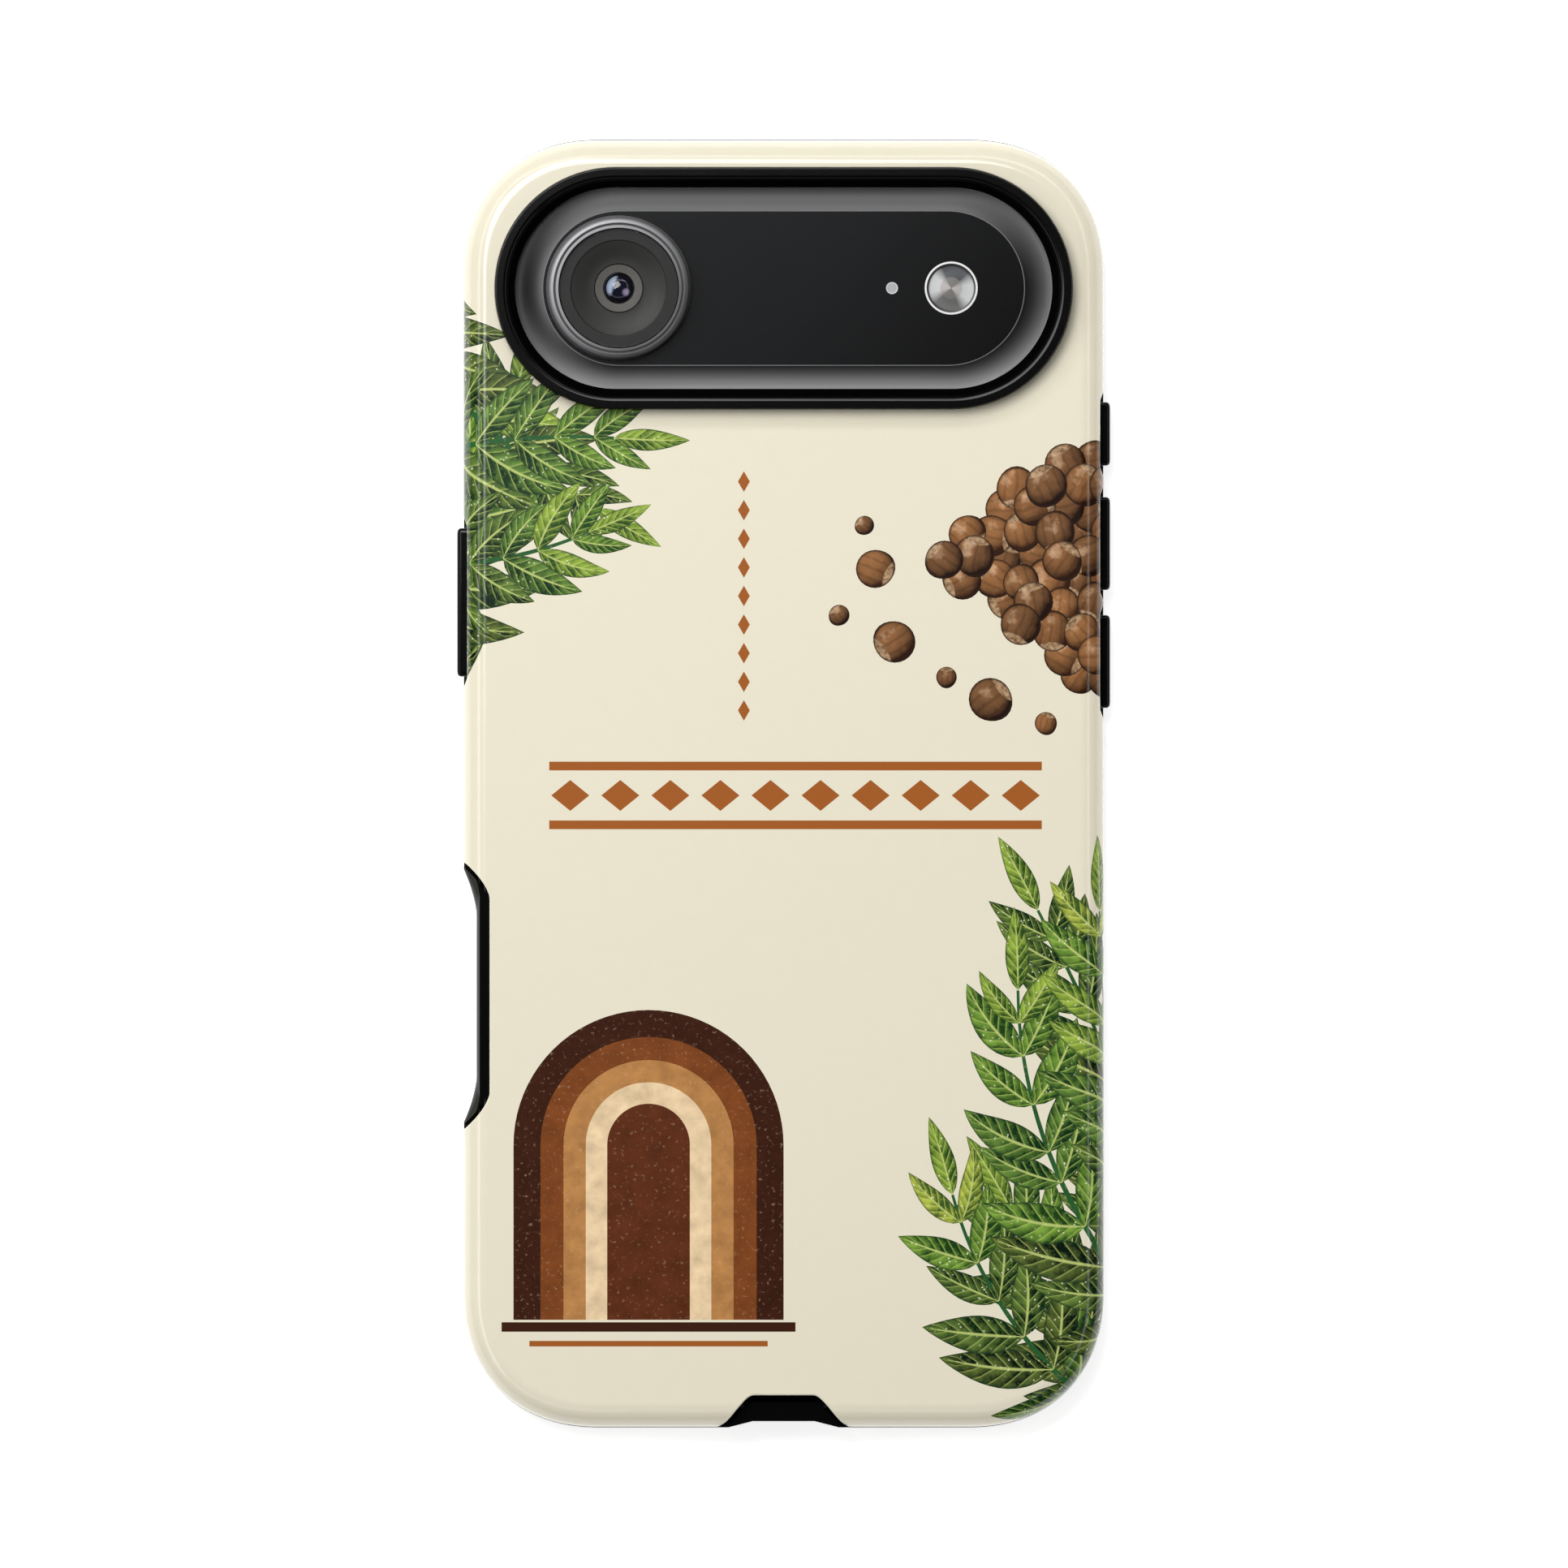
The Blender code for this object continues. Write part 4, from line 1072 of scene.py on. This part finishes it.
def make_liner(look):
    """The liner's body with its lip, the camera ring, the collars and the button covers."""
    make_liner_body(look)
    make_ring(look)
    side = scoop_side(-CASE_WIDTH / 2 + LINER_SETBACK, SHELL_SCOOP_X - GAP,
                      SHELL_SCOOP_LENGTH - 2 * GAP, SCOOP_FLARE - GAP)
    make_collar("scoop_collar", side, [scoop_cutter(), key_slot()], look)
    notch = port_side((SHELL_PORT_HALF[0] - GAP, SHELL_PORT_HALF[1] - GAP),
                      SHELL_PORT_DEPTH - GAP, -LINER_LENGTH / 2 + 0.02, True)
    make_collar("port_collar", notch, [port_recess(), *port_slots()], look)
    for index, (side, middle, length) in enumerate(BUTTON_COVERS):
        make_button(index, side, middle, length, look)


def make_button(index, side, middle, length, look):
    """A button cover: a rounded bar with a softly crowned face."""
    half = (length / 2, (BUTTON_TOP - BUTTON_BOTTOM) / 2)
    level = (BUTTON_TOP + BUTTON_BOTTOM) / 2
    box = [(-half[0], -half[1]), (half[0], -half[1]), half, (-half[0], half[1])]
    path = np.array(rounded(box, (0.55,) * 4, 6, True))
    root = CASE_WIDTH / 2 - 2.1
    face = CASE_WIDTH / 2 + BUTTON_PROUD
    rings = []
    for x, shrink in ((root, 0.0), (face - 0.5, 0.0), (face - 0.33, 0.03), (face - 0.18, 0.12),
                      (face - 0.08, 0.25), (face - 0.02, 0.42), (face, 0.75)):
        scale = 1 - shrink / np.array(half)
        plan = path * scale
        rings.append(np.column_stack([np.full(len(plan), side * x), middle + plan[:, 0],
                                      level + plan[:, 1]]))
    cover = skin(f"button_cover_{index}", rings, look)
    place(cover, "soft_liner", "liner")


# The phone

def phone_outline(inset):
    """The phone's outline, inside the case's by a constant distance."""
    return corner_outline(CASE_WIDTH / 2 - PHONE_SIDE - inset,
                          LINER_LENGTH / 2 - PHONE_SIDE - inset, CORNER_SIZE - PHONE_SIDE - inset)


def make_screen():
    """The front glass, with its dark display, a thin border and the sensor pill."""
    glass = Look("front_glass", GLASS_COLOR, 0.06, coat_weight=1.0, coat_roughness=0.03)
    glass.grain(900, 0.3, 0.2, 0.01)
    x, y, _ = glass.spot((0.0, SENSOR_Y))
    across = (x.math("ABSOLUTE") - (SENSOR_PILL[0] - SENSOR_PILL[1])).math("MAXIMUM", 0.0)
    pill = span(across, y).ramp(SENSOR_PILL[1] + 0.05, SENSOR_PILL[1])
    glass.set("Base Color", glass.mix(pill, GLASS_COLOR, (0.0008, 0.0008, 0.0008)))
    border = Look("display_border", (0.0015, 0.0015, 0.0015), 0.12).grain(1500, 0.5, 0.2, 0.02)
    outline = phone_outline(FRAME_RIM + FRAME_EDGE + GAP)
    profile = [(0.0, SCREEN_THICKNESS), (0.0, 0.25), (0.03, 0.12), (0.1, 0.03), (0.25, 0.0),
               (1.4, 0.0), (1.42, 0.01)]
    rings = [ring_at(outline, inset, SCREEN_FACE + z) for inset, z in profile]
    screen = skin("screen_glass", rings, [glass.material, border.material],
                  bands=[1, 1, 1, 1, 1, 0])
    place(screen, "front_glass", "screen")


def plateau_looks():
    """Dark glass for the plateau's top with painted shade, satin glass for its flank with painted
    light and shade, and a fine edge painted pale as a painted highlight.
    """
    top = Look("plateau_glass", (0.0075, 0.0080, 0.0088), 0.13, coat_weight=0.4,
               coat_roughness=0.05)
    top.grain(700, 0.2, 0.12, 0.01)
    x, y, _ = top.spot((0.0, CAMERA_Y))
    # Painted shade: the top is painted darker towards the lower right, away from the key light.
    top_painted_shade = (x * 0.8 - y * 0.6).ramp(4.0, 26.0)
    top.set("Base Color", top.mix(top_painted_shade, (0.0080, 0.0086, 0.0094), (0.0030, 0.0031, 0.0034)))

    flank = Look("plateau_flank", (0.27, 0.27, 0.275), 0.45, coat_weight=0.2,
                 coat_roughness=0.3)
    flank.grain(4200, 2, 0.06, 0.04)
    x, along, z = flank.spot((0.0, CAMERA_Y))
    height = (z - PHONE_BACK).ramp(0.0, PLATEAU_TOP - PHONE_BACK)
    half = PLATEAU_HALF[0] - PLATEAU_HALF[1]
    across = x - x.math("MINIMUM", half).math("MAXIMUM", -half)
    length = span(across, along)
    # Painted light and shade: the left and top sides of the flank are painted lighter towards the
    # plateau's top, and the right and bottom sides lighter towards the foot, as if lit from the
    # upper left with the ring's shadow on the left and top feet.
    lit = height * 0.0
    for way, sign, strength, level, power in ((across, -1, 0.84, height, 1.6),
                                              (across, 1, 0.38, height.flip(), 1.5),
                                              (along, 1, 0.80, height, 0.12),
                                              (along, -1, 1.20, height.flip(), 1.2)):
        share = (way.math("DIVIDE", length) * sign).math("MAXIMUM", 0.0)
        lit = lit + share * share * level.math("POWER", power) * strength
    flank.set("Base Color", flank.mix(lit, (0.012, 0.012, 0.012), (0.30, 0.30, 0.305)))
    # Painted highlight: the plateau's fine edge is painted pale as a thin line of reflected light.
    edge = Look("plateau_edge_painted_highlight", (0.20, 0.20, 0.205), 0.35).grain(4200, 1, 0.06)
    return top.material, flank.material, edge.material


def make_back():
    """The back glass with its raised camera plateau."""
    top, flank, edge = plateau_looks()
    outline = phone_outline(FRAME_RIM + FRAME_EDGE + GAP)
    plate = skin("back_plate", [ring_at(outline, 0.0, PHONE_BACK - BACK_GLASS_THICKNESS),
                                ring_at(outline, 0.0, PHONE_BACK - 0.1),
                                ring_at(outline, 0.1, PHONE_BACK)], flank)
    place(plate, "back_glass", "back_glass")
    foot = (PLATEAU_HALF[0] + PLATEAU_FLANK, PLATEAU_HALF[1] + PLATEAU_FLANK)
    pill = pill_outline(*foot, 64)
    rings = [ring_at(pill, 0.0, PHONE_BACK - 0.3, (0.0, CAMERA_Y))]
    rise = PLATEAU_TOP - 0.12 - PHONE_BACK
    for part in np.linspace(0, 1, 15):
        z = PHONE_BACK + rise * (0.02 + 0.98 * part ** 2.2)
        rings.append(ring_at(pill, PLATEAU_FLANK * part, z, (0.0, CAMERA_Y)))
    bands = [1] * 15
    for inset, z, band in ((0.02, -0.07, 2), (0.08, -0.02, 2), (0.13, 0.0, 2)):
        rings.append(ring_at(pill, PLATEAU_FLANK + inset, PLATEAU_TOP + z, (0.0, CAMERA_Y)))
        bands.append(band)
    plateau = skin("camera_plateau", rings, [top, flank, edge], bands=[*bands, 0])
    carve(plateau, [turned("pocket", [(radius, PLATEAU_TOP - 0.85), (radius, CUT_SPAN[1])],
                           center, [], loop=False)
                    for center, radius in ((LENS, LENS_RADIUS - 0.3), (FLASH, FLASH_RADIUS - 0.08),
                                           (MIC, MIC_RADIUS - 0.05))])
    place(plateau, "back_glass", "back_glass")


def make_bezel():
    """The metal ring round the lens, painted lighter towards the upper left as painted light, with
    a black groove, and the gasket at its foot.
    """
    bezel = Look("lens_metal", (0.19, 0.19, 0.20), 0.38, 0.25).grain(3000, 2, 0.08)
    x, y, _ = bezel.spot(LENS)
    # Painted light: the bezel is painted pale on its upper left and dark on its lower right, as if
    # lit from the upper left.
    bezel_painted_light = (y - x).math("DIVIDE", span(x, y)) * math.sqrt(0.5)
    bezel.set("Base Color", bezel.mix(bezel_painted_light.ramp(-0.8, 0.9), (0.05, 0.05, 0.052),
                                      (0.25, 0.25, 0.26)))
    dark = Look("lens_groove", (0.006, 0.006, 0.006), 0.4).grain(3000, 2, 0.1)
    inner, outer, floor = LENS_GROOVE
    profile = rounded([(LENS_BORE, LENS_BASE), (LENS_RADIUS, LENS_BASE),
                       (LENS_RADIUS, LENS_HEIGHT), (outer, LENS_HEIGHT), (outer, floor),
                       (inner, floor), (inner, LENS_HEIGHT), (LENS_BORE, LENS_HEIGHT)],
                      (0, 0, 0.62, 0.06, 0, 0, 0.05, 0.08), 8, True)
    bands = []
    for (ra, za), (rb, zb) in zip(profile, profile[1:] + profile[:1]):
        in_groove = inner <= (ra + rb) / 2 <= outer and max(za, zb) < LENS_HEIGHT - 0.01
        bands.append(int(in_groove))
    ring = turned("lens_bezel", profile, LENS, [bezel.material, dark.material], bands=bands)
    place(ring, "lens_metal", "lens_ring")

    low, high = PLATEAU_TOP - 0.2, PLATEAU_TOP + 0.06
    foot = rounded([(LENS_RADIUS - 0.1, low), (LENS_RADIUS + 0.24, low),
                    (LENS_RADIUS + 0.24, high), (LENS_RADIUS - 0.1, high)], (0, 0, 0.1, 0), 3,
                   True)
    place(turned("lens_gasket", foot, LENS, dark.material), "barrel_black")


def make_cover_glass():
    """The clear disc over the lens."""
    cover = Look("lens_glass", (0.006, 0.006, 0.006), 0.03, alpha=0.18, coat_weight=1.0,
                 coat_roughness=0.02)
    cover.grain(400, 0.2, 0.1, 0.01)
    disc = rounded([(0.0, LENS_GLASS_BOTTOM), (LENS_GLASS_RADIUS, LENS_GLASS_BOTTOM),
                    (LENS_GLASS_RADIUS, LENS_GLASS_TOP), (0.0, LENS_GLASS_TOP)],
                   (0, 0.1, 0.04, 0), 2)
    glass = turned("lens_cover", disc, LENS, cover.material, loop=False)
    place(glass, "lens_glass", "lens_glass")


def make_barrel():
    """The stepped barrel: a disc painted paler outward as painted light against the shade under
    the bezel, a pale ring and a dark well.
    """
    tones = [(0.009, 0.009, 0.008), (0.018, 0.0175, 0.0150), (0.260, 0.250, 0.230),
             (0.004, 0.004, 0.004)]
    made = [Look(f"barrel_{index}", tone, 0.42).grain(2400, 3, 0.10)
            for index, tone in enumerate(tones)]
    # Painted light: the disc is painted paler towards its rim, where the bezel and cover shade it.
    x, y, _ = made[1].spot(LENS)
    rise = span(x, y).ramp(4.2, 6.0)
    made[1].set("Base Color", made[1].mix(rise, (0.0185, 0.018, 0.0155), (0.046, 0.045, 0.040)))
    profile = [(1.75, LENS_BASE), (LENS_GLASS_RADIUS, LENS_BASE)]
    profile += [(radius, LENS_DECK - depth) for radius, depth in
                ((LENS_GLASS_RADIUS, 0.0), (6.10, 0.0), (6.02, 0.02), (5.95, 0.06), (3.12, 0.08),
                 (3.05, 0.20), (2.98, 0.24), (2.0, 0.95), (1.88, 1.0), (1.78, 1.3))]
    barrel = turned("lens_barrel_steps", profile, LENS, [look.material for look in made],
                    bands=[3, 0, 0, 0, 0, 1, 3, 3, 2, 3, 3, 3])
    place(barrel, "barrel_black", "lens_barrel")


def make_front_element():
    """The domed front element, dark blue, with a blue crescent and a violet glint painted on as
    painted reflections of the lamps.
    """
    blue = (0.010, 0.012, 0.032)
    coat = Look("coated_glass", blue, 0.10, coat_weight=1.0, coat_roughness=0.03)
    x, y, _ = coat.spot(LENS)
    # Painted reflections: a pale blue crescent on the left and a violet glint on the lower right.
    crescent = (y * 0.34 - x * 0.94).ramp(0.50, 0.85) * y.ramp(-1.15, -0.55)
    glint = span(x - 0.92, y + 0.52).ramp(0.58, 0.25)
    color = coat.mix(crescent, blue, (0.62, 0.76, 1.0))
    coat.set("Base Color", coat.mix(glint, color, (0.52, 0.44, 0.66)))
    angle = np.linspace(0, math.pi / 2, 12)
    radius, foot, rim, rise = 1.6, LENS_BASE + 0.1, LENS_DECK - 1.75, 0.65
    dome = [(0.0, foot), (radius, foot)]
    dome += [(radius * math.cos(a), rim + rise * math.sin(a)) for a in angle[:-1]]
    dome.append((0.0, rim + rise))
    element = turned("front_element", dome, LENS, coat.material, 64, loop=False)
    place(element, "coated_glass", "lens_element")


def reflector_look():
    """Silver with two bright lobes painted on as painted reflections, painted shade between them,
    an inner disc and fine turned grooves.
    """
    silver = Look("flash_reflector", (0.42, 0.42, 0.42), 0.42, specular_ior_level=0.2,
                  anisotropic=0.7)
    x, y, _ = silver.spot(FLASH)
    distance = span(x, y)
    # Painted reflections: two bright lobes across the disc; between them painted shade, darker at
    # the top than at the bottom.
    lobes = (y.math("ARCTAN2", x) * 2.0 + 0.42).math("COSINE").ramp(-0.35, 0.70)
    groove = (distance * 55.0).math("SINE") * 0.5 + 0.5
    lower = silver.mix(y.ramp(0.4, -0.4), (0.060, 0.064, 0.072), (0.110, 0.110, 0.108))
    outer = silver.mix(lobes, lower, (0.52, 0.53, 0.53))
    inner = silver.mix(lobes, (0.155, 0.150, 0.140), (0.42, 0.39, 0.38))
    tone = silver.mix(distance.ramp(1.42, 1.34), outer, inner)
    silver.set("Base Color", silver.mix(groove * 0.08, tone, (0.30, 0.30, 0.30)))
    silver.set("Tangent", silver.node("ShaderNodeTangent", settings={"direction_type": "RADIAL",
                                                                     "axis": "Z"}))
    silver.bump(groove, 3, 0.4)
    return silver.material


def make_flash():
    """A white rim, a black groove and a brushed reflector with painted reflections."""
    rim = Look("flash_rim", (0.74, 0.74, 0.73), 0.35).grain(2500, 2, 0.03)
    groove = Look("flash_groove", (0.012, 0.012, 0.012), 0.4).grain(2500, 2, 0.1)
    high, inner = PLATEAU_TOP + 0.2, FLASH_RADIUS - 0.27
    profile = [(FLASH_WINDOW_RADIUS, PLATEAU_TOP - 0.3), (FLASH_RADIUS, PLATEAU_TOP - 0.3)]
    profile += rounded([(FLASH_RADIUS, PLATEAU_TOP), (FLASH_RADIUS, high), (inner, high),
                        (inner, PLATEAU_TOP)], (0, 0.10, 0.06, 0), 4)
    bands = [0] * (len(profile) - 1) + [1, 1]
    profile.append((FLASH_WINDOW_RADIUS, PLATEAU_TOP - 0.05))
    ring = turned("flash_rim", profile, FLASH, [rim.material, groove.material], 96, bands=bands)
    place(ring, "flash_rim", "flash_ring")

    level = PLATEAU_TOP - 0.42
    profile = [(0.0, level - 0.4), (3.2, level - 0.4), (3.2, level + 0.2), (2.84, level + 0.2),
               (2.75, level + 0.12), (1.42, level + 0.04), (1.38, level + 0.06), (0.0, level)]
    reflector = turned("flash_reflector", profile, FLASH, reflector_look(), 96, loop=False)
    place(reflector, "flash_reflector", "flash_window")


def make_microphone():
    """A pale rim round a fine pierced disc."""
    rim = Look("microphone_rim", (0.62, 0.62, 0.63), 0.35, 0.2).grain(2500, 1, 0.04)
    disc = Look("microphone_mesh", (0.40, 0.40, 0.41), 0.45, 0.3)
    x, y, _ = disc.spot()
    holes = ((x * 22.0).math("SINE") * (y * 22.0).math("SINE")).ramp(0.35, 0.6)
    disc.set("Base Color", disc.mix(holes, (0.42, 0.42, 0.43), (0.05, 0.05, 0.05)))
    disc.bump(holes.flip(), 30)
    top = PLATEAU_TOP + 0.06
    profile = [(0.0, top - 0.6), (MIC_RADIUS, top - 0.6), (MIC_RADIUS, top - 0.06),
               (MIC_RADIUS - 0.05, top), (MIC_RADIUS - 0.13, top), (MIC_RADIUS - 0.17, top - 0.05),
               (MIC_RADIUS - 0.17, top - 0.12), (0.0, top - 0.12)]
    made = turned("microphone_cup", profile, MIC, [rim.material, disc.material], 64,
                  loop=False, bands=[0, 0, 0, 0, 0, 0, 1])
    place(made, "microphone_rim", "microphone")


def dress_cad_nodes():
    """Better materials for the CAD nodes that stay."""
    metal = Look("frame_metal", (0.16, 0.165, 0.17), 0.30, 1.0).grain(2600, 3, 0.10)
    sapphire = Look("touch_key_glass", (0.012, 0.013, 0.016), 0.08, coat_weight=1.0,
                    coat_roughness=0.03).grain(900, 0.4, 0.15, 0.01)
    for name, look in (("phone_frame", metal), ("touch_key", sapphire)):
        for material_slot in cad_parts[name].material_slots:
            material_slot.material = look.material


def make_tongue():
    """The tongue in the charging socket."""
    look = Look("socket_tongue", (0.02, 0.02, 0.021), 0.4).grain(2600, 2, 0.1)
    inner_y = -LINER_LENGTH / 2 + PHONE_SIDE
    pill = pill_outline(3.3, 0.35, 12)[0]
    rings = []
    for y, scale in ((inner_y + 5.6, 1.0), (inner_y + 1.1, 1.0), (inner_y + 0.9, 0.85)):
        rings.append(np.column_stack([pill[:, 0] * scale, np.full(len(pill), y),
                                      PHONE_MIDDLE + pill[:, 1] * scale]))
    place(skin("socket_tongue", rings, look.material), "frame_metal")


# Stage, lights and camera

def make_stage():
    """A plain pale floor in an even surround."""
    half = 3000.0
    corners = [(-half, -half, -0.02), (half, -half, -0.02), (half, half, -0.02),
               (-half, half, -0.02)]
    mesh = bpy.data.meshes.new("floor")
    mesh.from_pydata([tuple(np.array(corner) * MM) for corner in corners], [], [(0, 1, 2, 3)])
    mesh.materials.append(floor_look())
    floor = link("floor", mesh)

    world = bpy.data.worlds.new("studio")
    bpy.context.scene.world = world
    world.use_nodes = True
    tree = world.node_tree
    backdrop = tree.nodes["Background"]
    backdrop.inputs["Color"].default_value = (1.0, 1.0, 1.0, 1.0)
    dim = tree.nodes.new("ShaderNodeBackground")
    dim.inputs["Color"].default_value = (0.010, 0.010, 0.010, 1.0)
    path = tree.nodes.new("ShaderNodeLightPath")
    blend = tree.nodes.new("ShaderNodeMixShader")
    tree.links.new(path.outputs["Is Camera Ray"], blend.inputs[0])
    tree.links.new(dim.outputs[0], blend.inputs[1])
    tree.links.new(backdrop.outputs[0], blend.inputs[2])
    tree.links.new(blend.outputs[0], tree.nodes["World Output"].inputs[0])


def strip_light(name, azimuth, lean, distance, size, power):
    """A long soft light beside the object, tilted towards it."""
    data = bpy.data.lights.new(name, "AREA")
    data.shape = "RECTANGLE"
    data.size, data.size_y = size
    data.energy = power
    made = link(name, data)
    around, tilt = math.radians(azimuth), math.radians(lean)
    toward = Vector((math.cos(around) * math.sin(tilt), math.sin(around) * math.sin(tilt),
                     math.cos(tilt)))
    made.location = toward * distance
    made.rotation_mode = "QUATERNION"
    made.rotation_quaternion = toward.to_track_quat("Z", "Y")


def make_lights():
    """Four strips round the object, and a steeper soft box over its upper left corner."""
    strip_light("light_left", 180, 43, 0.70, (0.95, 0.12), 1.27)
    strip_light("light_right", 0, 43, 0.80, (0.95, 0.13), 0.92)
    strip_light("light_top", 90, 43, 0.75, (0.95, 0.12), 1.28)
    strip_light("light_bottom", 270, 43, 0.80, (0.95, 0.13), 0.52)
    strip_light("light_key", 122, 22, 0.70, (0.36, 0.30), 3.47)


def make_camera():
    """Straight above, without perspective."""
    data = bpy.data.cameras.new("camera")
    data.type = "ORTHO"
    data.ortho_scale = IMAGE_SIZE / PIXELS_PER_MM * MM
    data.clip_start, data.clip_end = 0.05, 10.0
    made = link("camera", data)
    made.location = (0.05 * MM, -0.06 * MM, 1.0)
    bpy.context.scene.camera = made
    bpy.context.scene.view_settings.view_transform = "Standard"


def main():
    """Dress the frame and set the stage."""
    lay_out_print()
    make_shell()
    make_liner(liner_look())
    make_screen()
    make_back()
    make_bezel()
    make_cover_glass()
    make_barrel()
    make_front_element()
    make_flash()
    make_microphone()
    make_tongue()
    dress_cad_nodes()
    make_stage()
    make_lights()
    make_camera()


main()
